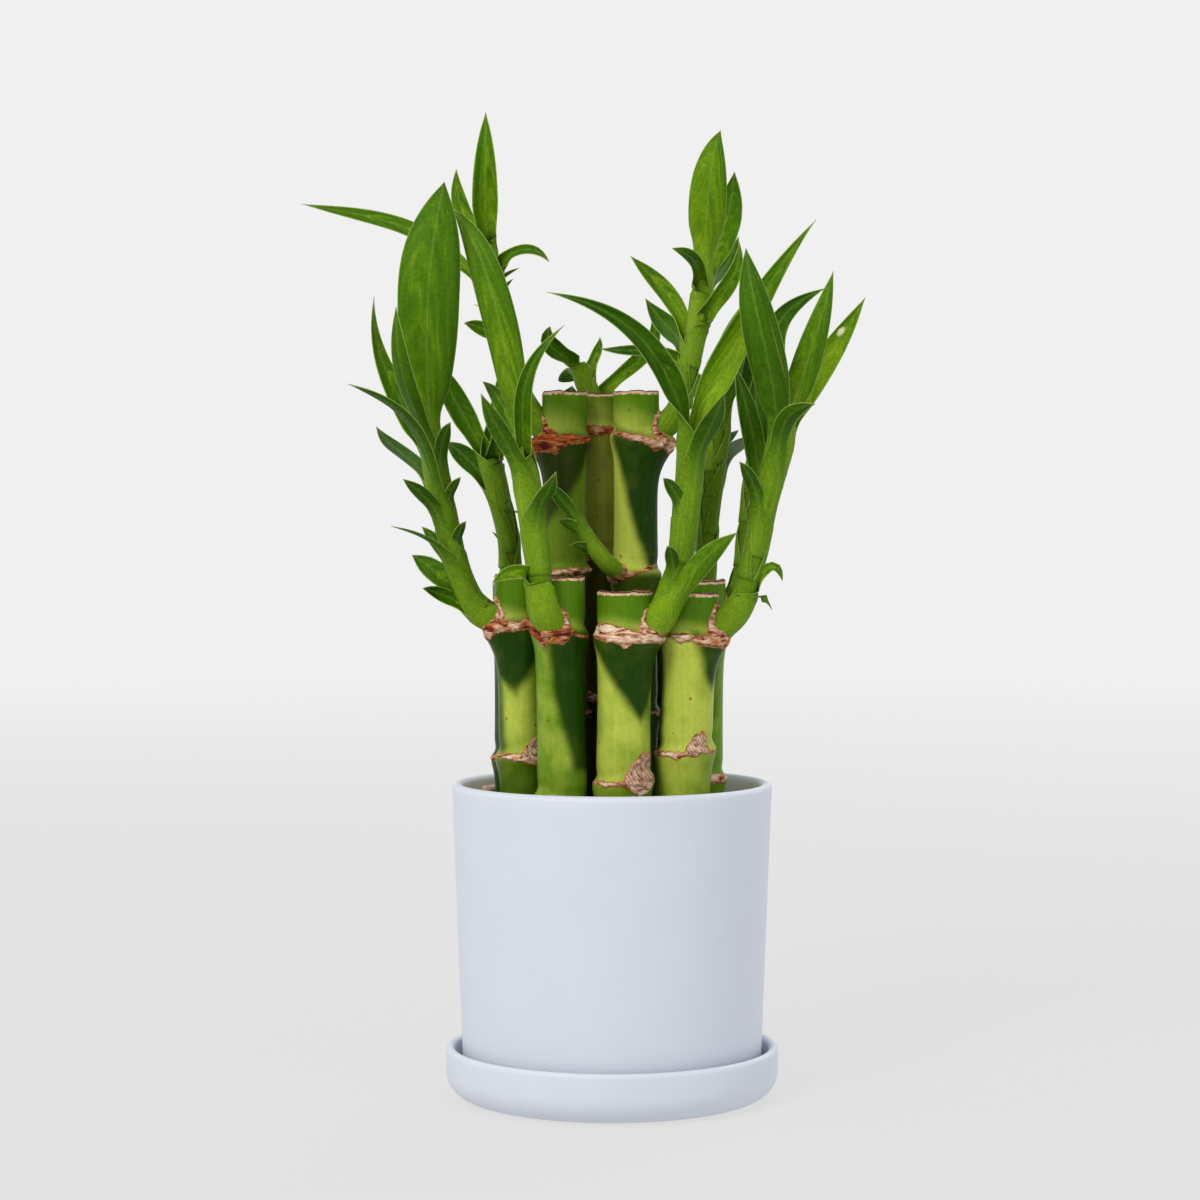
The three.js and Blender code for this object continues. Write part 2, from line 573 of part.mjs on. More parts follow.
// Blade of even thickness along its midrib, dished across like a shallow gutter.
function leafGeometry(shoot, leaf) {
  const stem = stemCurve(shoot);
  const root = stem.getPointAt(leaf.at);
  const along = stem.getTangentAt(leaf.at);
  const rib = midrib(root, along, leaf);
  const outward = squareTo(vector(leaf.tip).sub(root), UP);
  const own = outward.clone().negate().addScaledVector(UP, 0.6);
  const turnedTo = leaf.face === undefined ? own : compass(leaf.face).addScaledVector(UP, 0.3);
  const widest = leaf.widest ?? LEAF_WIDEST;
  const steps = THREE.MathUtils.clamp(Math.round(rib.getLength() / LEAF_STEP) + 1, 3, 8);
  const rings = Array.from({ length: steps + 1 }, (_, k) => {
    const t = k / steps;
    const centre = rib.getPointAt(t);
    const travel = rib.getTangentAt(t);
    const blend = THREE.MathUtils.smoothstep(t, 0, LEAF_TURN);
    const above = squareTo(own.clone().lerp(turnedTo, blend), travel);
    const right = above.clone().cross(travel);
    const half = Math.max((leaf.width / 2) * bladeShare(t, widest), TIP_HALF);
    const dish = half * THREE.MathUtils.lerp(ROOT_DISH, TIP_DISH, t);
    const lift = LEAF_THICKNESS / 2;
    const point = (across, up) => {
      return centre.clone().addScaledVector(right, across).addScaledVector(above, up);
    };
    return [
      point(half, dish + lift),
      point(0, lift),
      point(-half, dish + lift),
      point(-half, dish - lift),
      point(0, -lift),
      point(half, dish - lift),
    ];
  });
  return loft(rings);
}

// A stem with its leaves joined to it, cut clear of the canes that it grows beside.
function shootGeometry(shoot, canes) {
  const parts = [stemGeometry(shoot), ...shoot.leaves.map((leaf) => leafGeometry(shoot, leaf))];
  const joined = wasm.Manifold.union(parts.map(solidOf));
  const clear = joined.subtract(canes).simplify(SLIVER);
  const bodies = clear.decompose().sort((a, b) => b.volume() - a.volume());
  return geometryOf(bodies[0]);
}

function addPiece(group, name, geometry, finish) {
  const mesh = new THREE.Mesh(geometry, finish);
  mesh.name = name;
  group.add(mesh);
}

const plant = new THREE.Group();
addPiece(plant, 'saucer', saucerGeometry(), matteCeramic());
addPiece(plant, 'pot', potGeometry(), matteCeramic());
addPiece(plant, 'gravel', gravelGeometry(), pebbles());
SHORT_CANES.forEach((cane, i) => {
  addPiece(plant, `cane_short_${i + 1}`, caneGeometry(cane), caneSkin());
});
TALL_CANES.forEach((cane, i) => {
  addPiece(plant, `cane_tall_${i + 1}`, caneGeometry(cane), caneSkin());
});

const grownCanes = [...SHORT_CANES, ...TALL_CANES].map((cane) => {
  return solidOf(caneGeometry(cane, GAP * 1.1));
});
const allCanes = wasm.Manifold.union(grownCanes);
for (const [name, shoot] of Object.entries(SHOOTS)) {
  addPiece(plant, name, shootGeometry(shoot, allCanes), leafGreen());
}

export default plant;
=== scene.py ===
"""Lucky bamboo in its pot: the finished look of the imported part.

Tables and shape formulas are in millimetres, meshes and materials in metres. +Z is up, the
viewer of the front stands at -Y and +X is to the right. A compass angle is 0 toward the
viewer and 90 toward +X.
"""

import logging
from dataclasses import dataclass, field
from enum import Enum

import bpy
import numpy as np
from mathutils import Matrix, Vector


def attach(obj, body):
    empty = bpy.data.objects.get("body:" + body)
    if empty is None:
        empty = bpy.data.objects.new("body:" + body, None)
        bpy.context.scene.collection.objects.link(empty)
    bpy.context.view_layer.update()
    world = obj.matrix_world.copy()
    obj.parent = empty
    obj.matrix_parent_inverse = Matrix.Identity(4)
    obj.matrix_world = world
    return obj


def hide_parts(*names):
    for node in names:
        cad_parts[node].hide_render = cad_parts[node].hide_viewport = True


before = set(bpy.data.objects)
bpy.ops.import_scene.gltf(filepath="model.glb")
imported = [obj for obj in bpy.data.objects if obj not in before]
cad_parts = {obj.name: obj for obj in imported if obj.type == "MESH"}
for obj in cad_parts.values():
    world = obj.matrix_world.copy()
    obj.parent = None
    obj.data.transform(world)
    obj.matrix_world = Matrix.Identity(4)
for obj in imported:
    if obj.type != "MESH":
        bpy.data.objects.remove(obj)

LOG = logging.getLogger("lucky_bamboo")
MM = 0.001
UP = np.array([0.0, 0.0, 1.0])
SUNWARD = np.array([-0.62, -0.6, 0.5])  # side that faces the key lamp: painted paler green, painted light
FULL_TURN = 6.2832  # radians
FAR = 9.0  # millimetres: well away from an edge
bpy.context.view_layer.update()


class Slot(Enum):
    """Material slots of the record."""

    CERAMIC = "ceramic"
    GRAVEL = "gravel"
    CANE = "cane"
    LEAF = "leaf"


# ---------------------------------------------------------------- small formulas


def unit(vectors: np.ndarray) -> np.ndarray:
    """Each vector divided by its own length.

    Args:
        vectors: Array whose last axis is x, y, z.

    Returns:
        Array of the same shape.
    """
    length = np.linalg.norm(vectors, axis=-1, keepdims=True)
    return vectors / np.maximum(length, 1e-9)


def square_to(vectors: np.ndarray, axis: np.ndarray) -> np.ndarray:
    """The part of each vector square to an axis, at unit length: v - (v . axis) axis."""
    return unit(vectors - np.sum(vectors * axis, axis=-1, keepdims=True) * axis)


def ease(value: np.ndarray, low: float, high: float) -> np.ndarray:
    """Smooth step from 0 at low to 1 at high: 3 t^2 - 2 t^3 of the clamped share t."""
    t = np.clip((np.asarray(value, float) - low) / (high - low), 0, 1)
    return t * t * (3 - 2 * t)


def mix(a: np.ndarray, b: np.ndarray, share: np.ndarray) -> np.ndarray:
    """Straight blend: a where share is 0, b where it is 1."""
    return a + (b - a) * share


def compass(degrees: float) -> np.ndarray:
    """Direction on the ground at a compass angle: (sin a, -cos a, 0)."""
    angle = np.radians(degrees)
    return np.array([np.sin(angle), -np.cos(angle), 0.0])


def turn(angle: np.ndarray) -> np.ndarray:
    """An angle in radians brought to the range from -pi to pi."""
    return (angle + np.pi) % (2 * np.pi) - np.pi


def circle(count: int) -> np.ndarray:
    """Angles in radians, evenly spaced round a full turn."""
    return np.linspace(0, 2 * np.pi, count, endpoint=False)


def bell(distance: np.ndarray, width: float) -> np.ndarray:
    """Smooth bump that is 1 at no distance: exp(-(distance / width)^2)."""
    return np.exp(-((distance / width) ** 2))


def swing(angle: np.ndarray) -> np.ndarray:
    """Wave from 0 at no angle to 1 at half a turn: (1 - cos angle) / 2."""
    return 0.5 - 0.5 * np.cos(angle)


def ragged(angle: np.ndarray, seed: int) -> np.ndarray:
    """Uneven edge round a cane, from about -1 to 1.

    The sum over k of sin(k a + phase) / k^0.6, so that it closes on itself after a full turn.

    Args:
        angle: Angles round the cane, in radians.
        seed: Picks the phases.

    Returns:
        Array like angle.
    """
    rng = np.random.default_rng(seed)
    counts = np.array([2, 3, 5, 8, 13, 21, 34])
    phases = rng.uniform(0, 2 * np.pi, len(counts))
    waves = np.sin(np.multiply.outer(np.asarray(angle, float), counts) + phases)
    return (waves / counts**0.6).sum(axis=-1) / 1.4


def grain(u: np.ndarray, v: np.ndarray, seed: int) -> np.ndarray:
    """Smooth random field from 0 to 1 on a unit lattice, eased between its lattice points.

    Args:
        u: First coordinate, in lattice steps.
        v: Second coordinate, in lattice steps.
        seed: Picks the field.

    Returns:
        Array like u.
    """
    table = np.random.default_rng(seed).random((64, 64))
    i, j = np.floor(u).astype(int), np.floor(v).astype(int)
    fu, fv = ease(u - i, 0, 1), ease(v - j, 0, 1)
    near = mix(table[i % 64, j % 64], table[(i + 1) % 64, j % 64], fu)
    far = mix(table[i % 64, (j + 1) % 64], table[(i + 1) % 64, (j + 1) % 64], fu)
    return mix(near, far, fv)


def quarter(
    centre: tuple[float, float], radius: float, start: float, end: float, steps: int
) -> np.ndarray:
    """Points of an arc in the profile plane.

    Args:
        centre: Radius and height of the arc's centre.
        radius: Radius of the arc.
        start: First angle in degrees, 0 outward and 90 up.
        end: Last angle in degrees.
        steps: Number of steps.

    Returns:
        Rows of radius and height.
    """
    angle = np.radians(np.linspace(start, end, steps + 1))
    return np.stack([centre[0] + radius * np.cos(angle), centre[1] + radius * np.sin(angle)], 1)


# ---------------------------------------------------------------- surfaces


@dataclass
class Shell:
    """A closed surface in millimetres, with one number a point for each named value."""

    points: np.ndarray
    quads: np.ndarray
    fans: np.ndarray
    values: dict[str, np.ndarray] = field(default_factory=dict)

    @staticmethod
    def joined(shells: list["Shell"]) -> "Shell":
        """All the shells as one, each with its faces renumbered.

        Args:
            shells: Shells that carry the same named values.

        Returns:
            All of them as one shell.
        """
        starts = np.cumsum([0] + [len(s.points) for s in shells[:-1]])
        names = shells[0].values
        return Shell(
            np.concatenate([s.points for s in shells]),
            np.concatenate([s.quads + k for s, k in zip(shells, starts)]),
            np.concatenate([s.fans + k for s, k in zip(shells, starts)]),
            {n: np.concatenate([s.values[n] for s in shells]) for n in names},
        )


def loft(
    rings: np.ndarray, values: dict[str, np.ndarray] | None = None, looped: bool = False
) -> Shell:
    """Skin over rings of points that run counterclockwise about the travel.

    Neighbouring rings are joined by quads. An open loft gets a pole at the middle of each end
    ring, and a looped one joins its last ring to its first.

    Args:
        rings: Array of rings, sides and x, y, z.
        values: Arrays of rings and sides, by name.
        looped: Whether the last ring joins the first.

    Returns:
        The closed shell.
    """
    count, sides = rings.shape[:2]
    rows = np.arange(count if looped else count - 1)[:, None] * sides
    after = (rows + sides) % (count * sides)
    side = np.arange(sides)
    beside = (side + 1) % sides
    quads = np.stack([rows + side, rows + beside, after + beside, after + side], -1)
    points = rings.reshape(-1, 3)
    flat = {n: np.asarray(v, float).reshape(-1) for n, v in (values or {}).items()}
    fans = np.zeros((0, 3), int)
    if not looped:
        hub, last = count * sides, (count - 1) * sides
        low = np.stack([np.full(sides, hub), beside, side], -1)
        high = np.stack([np.full(sides, hub + 1), last + side, last + beside], -1)
        fans = np.concatenate([low, high])
        points = np.concatenate([points, rings[[0, -1]].mean(axis=1)])
        ends = {n: v.reshape(count, sides)[[0, -1]].mean(axis=1) for n, v in flat.items()}
        flat = {n: np.concatenate([v, ends[n]]) for n, v in flat.items()}
    return Shell(points, quads.reshape(-1, 4), fans, flat)


def turned(profile: np.ndarray, sides: int, looped: bool = False) -> Shell:
    """Body of revolution about Z: (r sin a, -r cos a, z) for each profile point and angle a.

    Args:
        profile: Rows of radius and height: outward underneath, up, over and down the inside.
        sides: Number of angles.
        looped: Whether the last row joins the first.

    Returns:
        The closed shell.
    """
    angle = circle(sides)
    radius, height = profile[:, :1], profile[:, 1:]
    rings = [radius * np.sin(angle), -radius * np.cos(angle), height + 0 * angle]
    return loft(np.stack(rings, axis=-1), looped=looped)


def add_object(name: str, data: bpy.types.ID) -> bpy.types.Object:
    """Puts data into the scene as a new object at the origin.

    Args:
        name: Name of the object.
        data: Its mesh, lamp or camera.

    Returns:
        The new object.
    """
    thing = bpy.data.objects.new(name, data)
    bpy.context.scene.collection.objects.link(thing)
    return thing


def add_shell(
    name: str, shell: Shell, material: bpy.types.Material, smooth: bool = True
) -> bpy.types.Object:
    """Puts a shell into the scene as a mesh.

    Args:
        name: Name of the object.
        shell: Its surface, in millimetres.
        material: Its finish.
        smooth: Whether its faces are shaded smooth.

    Returns:
        The new object.
    """
    mesh = bpy.data.meshes.new(name)
    corners = np.concatenate([shell.quads.ravel(), shell.fans.ravel()])
    sizes = np.repeat([4, 3], [len(shell.quads), len(shell.fans)])
    mesh.vertices.add(len(shell.points))
    mesh.vertices.foreach_set("co", (shell.points * MM).astype(np.float32).ravel())
    mesh.loops.add(len(corners))
    mesh.loops.foreach_set("vertex_index", corners.astype(np.int32))
    mesh.polygons.add(len(sizes))
    mesh.polygons.foreach_set("loop_start", (np.cumsum(sizes) - sizes).astype(np.int32))
    mesh.update(calc_edges=True)
    mesh.validate()
    for value_name, numbers in shell.values.items():
        layer = mesh.attributes.new(value_name, "FLOAT", "POINT")
        layer.data.foreach_set("value", numbers.astype(np.float32))
    if smooth:
        mesh.shade_smooth()
    else:
        mesh.shade_flat()
    mesh.materials.append(material)
    return add_object(name, mesh)


def make_piece(
    name: str, shell: Shell, material: bpy.types.Material, slot: Slot, *nodes: str
) -> None:
    """Makes a smooth piece that rides on the root body.

    Args:
        name: Name of the piece.
        shell: Its surface, in millimetres.
        material: Its finish.
        slot: The record's slot that the finish belongs to. Not used.
        *nodes: CAD nodes that it stands for.
    """
    piece = add_shell(name, shell, material)
    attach(piece, "root")
    if nodes:
        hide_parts(*nodes)
    LOG.info("%s: %d faces", name, len(piece.data.polygons))


# ---------------------------------------------------------------- finishes


def linear(code: str) -> tuple[float, float, float, float]:
    """An sRGB hex colour as linear red, green, blue and alpha.

    Args:
        code: Six hex digits after a hash.

    Returns:
        Linear values from 0 to 1.
    """
    parts = np.array([int(code[k : k + 2], 16) for k in (1, 3, 5)]) / 255
    bright = ((parts + 0.055) / 1.055) ** 2.4
    red, green, blue = np.where(parts <= 0.04045, parts / 12.92, bright)
    return (float(red), float(green), float(blue), 1.0)


def per(millimetres: float) -> float:
    """Scale of a pattern that repeats once in so many millimetres."""
    return 1 / (millimetres * MM)


class Node(Enum):
    """Kinds of node: type, inputs that a row fills in turn, output that is read, settings."""

    PLACE = "TexCoord", (), "Object", {}
    VALUE = "Attribute", (), "Fac", {}
    NOISE = "TexNoise", ("Vector", "Scale", "Detail", "Distortion"), 0, {}
    CELLS = "TexVoronoi", ("Vector", "Scale"), "Distance", {}
    CELL_TONES = "TexVoronoi", ("Vector", "Scale"), "Color", {}
    CELL_EDGES = "TexVoronoi", ("Vector", "Scale"), "Distance", {"feature": "DISTANCE_TO_EDGE"}
    STRETCH = "Mapping", ("Vector", "Scale"), 0, {}
    JOIN = "CombineXYZ", (0, 1, 2), 0, {}
    HEIGHT = "SeparateXYZ", (0,), "Z", {}
    EACH_TIMES = "VectorMath", (0, 1), 0, {"operation": "MULTIPLY"}
    LENGTH = "VectorMath", (0,), "Value", {"operation": "LENGTH"}
    SHADE = "VectorMath", (0, "Scale"), 0, {"operation": "SCALE"}
    RANGE = "MapRange", (0, 1, 2, 3, 4), 0, {}
    SMOOTH = "MapRange", (0, 1, 2, 3, 4), 0, {"interpolation_type": "SMOOTHSTEP"}
    BLEND = "Mix", (0, 6, 7), 2, {"data_type": "RGBA"}
    RAMP = "ValToRGB", (0,), 0, {}
    PLUS = "Math", (0, 1), 0, {"operation": "ADD"}
    TIMES = "Math", (0, 1), 0, {"operation": "MULTIPLY"}
    TIMES_PLUS = "Math", (0, 1, 2), 0, {"operation": "MULTIPLY_ADD"}
    LARGER = "Math", (0, 1), 0, {"operation": "MAXIMUM"}
    SIZE = "Math", (0,), 0, {"operation": "ABSOLUTE"}
    SINE = "Math", (0,), 0, {"operation": "SINE"}
    BUMP = "Bump", ("Strength", "Distance", "Height"), 0, {}


def add_node(
    tree: bpy.types.NodeTree, kind: str, inputs: dict, out: int | str = 0, **settings
) -> bpy.types.NodeSocket | None:
    """Adds one node with its settings and links.

    Args:
        tree: The material's node tree.
        kind: Type of the node.
        inputs: Input name or number to a value, an sRGB hex colour or a socket to link from.
        out: The output that is wanted.
        **settings: Properties of the node. stops is a list of position and hex colour.

    Returns:
        The wanted output socket, or None if the node has none.
    """
    node = tree.nodes.new("ShaderNode" + kind)
    stops = settings.pop("stops", [])
    for name, value in settings.items():
        setattr(node, name, value)
    for place, (position, code) in enumerate(stops):
        ramp = node.color_ramp.elements
        stop = ramp[place] if place < 2 else ramp.new(position)
        stop.position, stop.color = position, linear(code)
    for key, value in inputs.items():
        if isinstance(value, bpy.types.NodeSocket):
            tree.links.new(value, node.inputs[key])
        else:
            node.inputs[key].default_value = linear(value) if isinstance(value, str) else value
    return node.outputs[out] if node.outputs else None


def reads(names: str) -> list[tuple]:
    """Rows that read the values of those names from the surface."""
    return [(name, Node.VALUE, {"attribute_name": name}) for name in names.split()]


def grow(name: str, rows: list[tuple], surface: dict) -> bpy.types.Material:
    """Makes a material from rows, each of them one node.

    A row holds the name that its output is kept under, its kind and its inputs. An input is a
    number, an sRGB hex colour or the name of an earlier row, the last one where several have
    that name. A dict at the end of a row holds further settings.

    Args:
        name: Name of the material.
        rows: Its nodes, in order.
        surface: Inputs of its principled shader.

    Returns:
        The material.
    """
    material = bpy.data.materials.new(name)
    material.use_nodes = True
    tree = material.node_tree
    tree.nodes.clear()
    kept = {}
    for key, kind, *given in rows:
        own = given.pop() if given and isinstance(given[-1], dict) else {}
        node, places, out, settings = kind.value
        given = [kept.get(v, v) if isinstance(v, str) else v for v in given]
        kept[key] = add_node(tree, node, dict(zip(places, given)), out, **settings, **own)
    inputs = {p: kept.get(v, v) if isinstance(v, str) else v for p, v in surface.items()}
    add_node(tree, "OutputMaterial", {"Surface": add_node(tree, "BsdfPrincipled", inputs)})
    return material


@dataclass(frozen=True)
class MatteGlaze:
    """Stoneware, slip cast and dipped in a matte glaze.

    The glaze gives an even cool white with a broad soft sheen and the faint tooth of its fine
    crystals. The foot is wiped bare. The inside, within the radius of painted_light_inside_mm,
    is painted paler, painted light against the shade down in the pot, and a warmer, darker
    tint fades out up the inside wall over the gravel.
    """

    name: str
    bare_below: float
    inside_tinted: bool
    glaze: str = "#CFD5E1"
    glaze_cloud: str = "#C9CFDC"
    bare_clay: str = "#D9D3C8"
    # a warmer, darker tint low on the inside wall
    low_warm_tint: str = "#B7A596"
    # painted light: the shaded inside of the pot is painted paler
    painted_light_inside: str = "#F0F1F5"
    roughness: float = 0.56
    ior: float = 1.5
    cloud_mm: float = 14.0
    tooth_mm: float = 0.7
    painted_light_inside_mm: tuple[float, float] = (39.0, 39.3)
    low_warm_tint_mm: tuple[float, float] = (78, 85)

    def build(self) -> bpy.types.Material:
        """Makes the finish, with the paler inside, painted light, and the warm low tint where the
        piece's inside is tinted.

        Returns:
            The pot's or the saucer's glaze.
        """
        low, high = self.low_warm_tint_mm
        start, end = self.painted_light_inside_mm
        # paler within the radius, painted light on the shaded inside, then the warmer darker tint
        # low on it
        inside = [
            ("flat", Node.EACH_TIMES, "place", (1, 1, 0)),
            ("radius", Node.LENGTH, "flat"),
            ("inside", Node.RANGE, "radius", start * MM, end * MM, 1, 0),
            ("wavy", Node.TIMES_PLUS, "cloud", 6 * MM, "height"),
            ("low", Node.RANGE, "wavy", low * MM, high * MM, 0.5, 0.04),
            ("colour", Node.BLEND, "inside", "colour", self.painted_light_inside),
            ("share", Node.TIMES, "inside", "low"),
            ("colour", Node.BLEND, "share", "colour", self.low_warm_tint),
        ]
        low, high = (self.bare_below - 0.3) * MM, (self.bare_below + 0.1) * MM
        rows = [
            ("place", Node.PLACE),
            ("cloud", Node.NOISE, "place", per(self.cloud_mm), 3.0),
            ("colour", Node.BLEND, "cloud", self.glaze, self.glaze_cloud),
            ("height", Node.HEIGHT, "place"),
            *(inside if self.inside_tinted else []),
            ("bare", Node.RANGE, "height", low, high, 1, 0),
            ("colour", Node.BLEND, "bare", "colour", self.bare_clay),
            ("rough", Node.RANGE, "bare", 0, 1, self.roughness, 0.9),
            # The glaze's real tooth is about 0.1 mm; it is drawn at 0.7 mm so that it shows.
            ("tooth", Node.NOISE, "place", per(self.tooth_mm), 4.0),
            ("bump", Node.BUMP, 0.12, 0.15 * MM, "tooth"),
        ]
        surface = {"Base Color": "colour", "Roughness": "rough", "IOR": self.ior, "Normal": "bump"}
        return grow(self.name, rows, surface)


@dataclass(frozen=True)
class Gravel:
    """River gravel, tumbled by water: dry tan, pink and grey stones with a dull grainy face."""

    name: str
    loose: bool
    stones: tuple[tuple[float, str], ...] = (
        (0.0, "#8F7C6C"),
        (0.3, "#B79C86"),
        (0.55, "#C9A894"),
        (0.8, "#A99888"),
        (1.0, "#D2C3B2"),
    )
    # painted shadow in the gaps between the bed's stones
    gap_shadow: str = "#4B3B2F"
    stone_mm: float = 3.4
    grit_mm: float = 0.6
    roughness: float = 0.86
    ior: float = 1.54

    def build(self) -> bpy.types.Material:
        """Makes the finish: loose stones read their own tone, the bed a pattern of cells with
        painted shadow in the gaps.

        Returns:
            The stones' or the bed's finish.
        """
        cell = per(self.stone_mm)
        # painted shadow: the gaps between the bed's stones are painted dark where shade falls
        # between them
        painted_gaps = [
            ("edge", Node.CELL_EDGES, "place", cell),
            ("crack", Node.RANGE, "edge", 0.02, 0.14),
            ("colour", Node.BLEND, "crack", self.gap_shadow, "colour"),
            ("height", Node.PLUS, "crack", "grit"),
        ]
        rows = [
            ("place", Node.PLACE),
            ("grit", Node.NOISE, "place", per(self.grit_mm), 5.0),
            *(reads("tone") if self.loose else [("tone", Node.CELL_TONES, "place", cell)]),
            ("colour", Node.RAMP, "tone", {"stops": self.stones}),
            ("speck", Node.RANGE, "grit", 0.35, 0.7, 0.72, 1.12),
            ("colour", Node.SHADE, "colour", "speck"),
            *([] if self.loose else painted_gaps),
            ("bump", Node.BUMP, 0.5, 0.4 * MM, "grit" if self.loose else "height"),
        ]
        surface = {"Base Color": "colour", "Roughness": self.roughness, "IOR": self.ior}
        return grow(self.name, rows, surface | {"Normal": "bump"})


@dataclass(frozen=True)
class CaneSkin:
    """Living cane: waxy green skin with fine lengthwise fibres, dry papery rings at its joints.

    The skin is glossy under its wax. The rings are torn leaf sheaths: dull, tan to pink, rust
    at their edges. The cut top is dried pith with a brown rim.
    """

    light: str = "#ABB948"
    middle: str = "#5F8416"
    # deep and the olive-brown colour after it colour the painted leaf shadows on the canes
    deep: str = "#1B3A00"
    dusk: str = "#38330C"
    fresh: str = "#4E760A"
    olive: str = "#6C6A22"
    paper: str = "#D3B69C"
    paper_dark: str = "#AD7F60"
    rust: str = "#96481F"
    maroon: str = "#4A1C18"
    cream: str = "#EBDCC6"
    amber: str = "#C07A44"
    bark: str = "#7E4630"
    speck: str = "#6A4A14"
    pith: str = "#A98560"
    pith_dark: str = "#3E2A1C"
    roughness: float = 0.3
    dry_roughness: float = 0.85
    ior: float = 1.45
    gloss: float = 0.1
    fibre_mm: tuple[float, float] = (0.9, 22)
    cloud_mm: float = 9
    tear_mm: float = 1.1
    speck_mm: float = 5.5
    patch_mm: float = 2.6
    crumple_mm: tuple[float, float] = (3.4, 0.95)
    hatch_mm: float = 0.85

    def skin(self) -> list[tuple]:
        """Rows of the living skin: green by cloud and by painted shade, painted shadow patches,
        fibres, pores and specks.
        """
        wide, tall = self.fibre_mm
        return [
            ("drawn_out", Node.STRETCH, "place", (per(wide), per(wide), per(tall))),
            ("fibre", Node.NOISE, "drawn_out", 1.0, 4.0),
            ("cloud", Node.NOISE, "place", per(self.cloud_mm), 3.0),
            ("torn", Node.NOISE, "place", per(self.tear_mm), 5.0),
            # green carries painted shade: deeper on the side away from the light
            ("colour", Node.TIMES_PLUS, "cloud", 1.8, "green"),
            ("colour", Node.RANGE, "colour", 0.8, 1.8),
            ("colour", Node.BLEND, "colour", self.light, self.middle),
            # painted shadow: deep green patches where leaves and canes shade the skin, more olive
            # on olive canes
            ("blurred", Node.TIMES_PLUS, "cloud", 1.6, "flush"),
            ("flush", Node.SMOOTH, "blurred", -1.2, 2.1),
            ("mottled", Node.RANGE, "cloud", 0.35, 0.55, 0.93, 1.0),
            ("deepened", Node.TIMES, "depth", "mottled"),
            ("flush", Node.TIMES, "flush", "deepened"),
            ("dusk", Node.TIMES, "olive", 1.6),
            ("dusk", Node.BLEND, "dusk", self.deep, self.dusk),
            ("colour", Node.BLEND, "fresh", "colour", self.fresh),
            ("colour", Node.BLEND, "olive", "colour", self.olive),
            ("colour", Node.BLEND, "flush", "colour", "dusk"),
            ("lengthwise", Node.RANGE, "fibre", 0.3, 0.7, 0.93, 1.06),
            ("colour", Node.SHADE, "colour", "lengthwise"),
            ("pore", Node.RANGE, "torn", 0.35, 0.65, 0.95, 1.05),
            ("colour", Node.SHADE, "colour", "pore"),
            ("speck", Node.CELLS, "place", per(self.speck_mm)),
            ("speck", Node.RANGE, "speck", 0.055, 0.09, 0.75, 0.0),
            ("colour", Node.BLEND, "speck", "colour", self.speck),
        ]

    def husk(self) -> list[tuple]:
        """Rows of the dry parts: crumpled strips with singed edges, and hatched bud scars.

        Returns:
            One row for each node, to follow the skin's.
        """
        wide, tall = self.crumple_mm
        edge = [(0.36, self.maroon), (0.64, self.paper_dark), (0.44, self.rust), (0.55, self.amber)]
        sheet = [(0.33, self.maroon), (0.64, self.cream), (0.38, self.rust)]
        sheet += [(0.43, self.paper_dark), (0.5, self.paper)]
        brown = [(0.38, self.maroon), (0.7, self.amber), (0.5, self.rust)]
        return [
            ("frayed", Node.TIMES_PLUS, "torn", 1.7, "husk"),
            ("singed", Node.RANGE, "frayed", 0.58, 0.82),
            ("papery", Node.RANGE, "frayed", 0.85, 1.05),
            ("patchy", Node.NOISE, "place", per(self.patch_mm), 3.0),
            ("edge", Node.RAMP, "patchy", {"stops": edge}),
            ("crumple", Node.STRETCH, "place", (per(wide), per(wide), per(tall))),
            ("fold", Node.NOISE, "crumple", 1.0, 6.0, 0.9),
            ("sheet", Node.RAMP, "fold", {"stops": sheet}),
            ("brown", Node.RAMP, "fold", {"stops": brown}),
            ("browned", Node.TIMES_PLUS, "patchy", 3.2, "rust"),
            ("browned", Node.RANGE, "browned", 1.5, 2.5),
            ("aged", Node.BLEND, "browned", "sheet", "brown"),
            ("hatch", Node.TIMES_PLUS, "around", FULL_TURN / self.hatch_mm, 0),
            ("wobble", Node.TIMES_PLUS, "torn", 7.0, "hatch"),
            ("comb", Node.SINE, "wobble"),
            ("comb", Node.TIMES_PLUS, "comb", 0.08, "torn"),
            ("comb", Node.RANGE, "comb", 0.3, 0.66),
            ("hatched", Node.BLEND, "comb", self.bark, self.paper),
            ("healed", Node.TIMES_PLUS, "torn", 2.4, "scar"),
            ("scarred", Node.RANGE, "healed", 1.2, 1.6),
            ("rimmed", Node.RANGE, "healed", 0.85, 1.1),
            ("colour", Node.BLEND, "singed", "colour", "edge"),
            ("colour", Node.BLEND, "papery", "colour", "aged"),
            ("colour", Node.BLEND, "rimmed", "colour", "edge"),
            ("colour", Node.BLEND, "scarred", "colour", "hatched"),
        ]

    def top(self) -> list[tuple]:
        """Rows of the cut top: a flaked rim round the pith, which is darker at its edge."""
        return [
            ("ragged_cut", Node.TIMES_PLUS, "torn", 1.2, "cut"),
            ("rim", Node.RANGE, "ragged_cut", -0.75, -0.5),
            ("flaked", Node.RANGE, "torn", 0.3, 0.75),
            ("dried", Node.BLEND, "flaked", self.amber, self.cream),
            ("colour", Node.BLEND, "rim", "colour", "dried"),
            ("inner", Node.RANGE, "cut", 0.3, 1.2),
            ("inner", Node.TIMES, "inner", "torn"),
            ("pith", Node.BLEND, "inner", self.pith_dark, self.pith),
            ("face", Node.RANGE, "ragged_cut", 0.3, 0.55),
            ("colour", Node.BLEND, "face", "colour", "pith"),
        ]

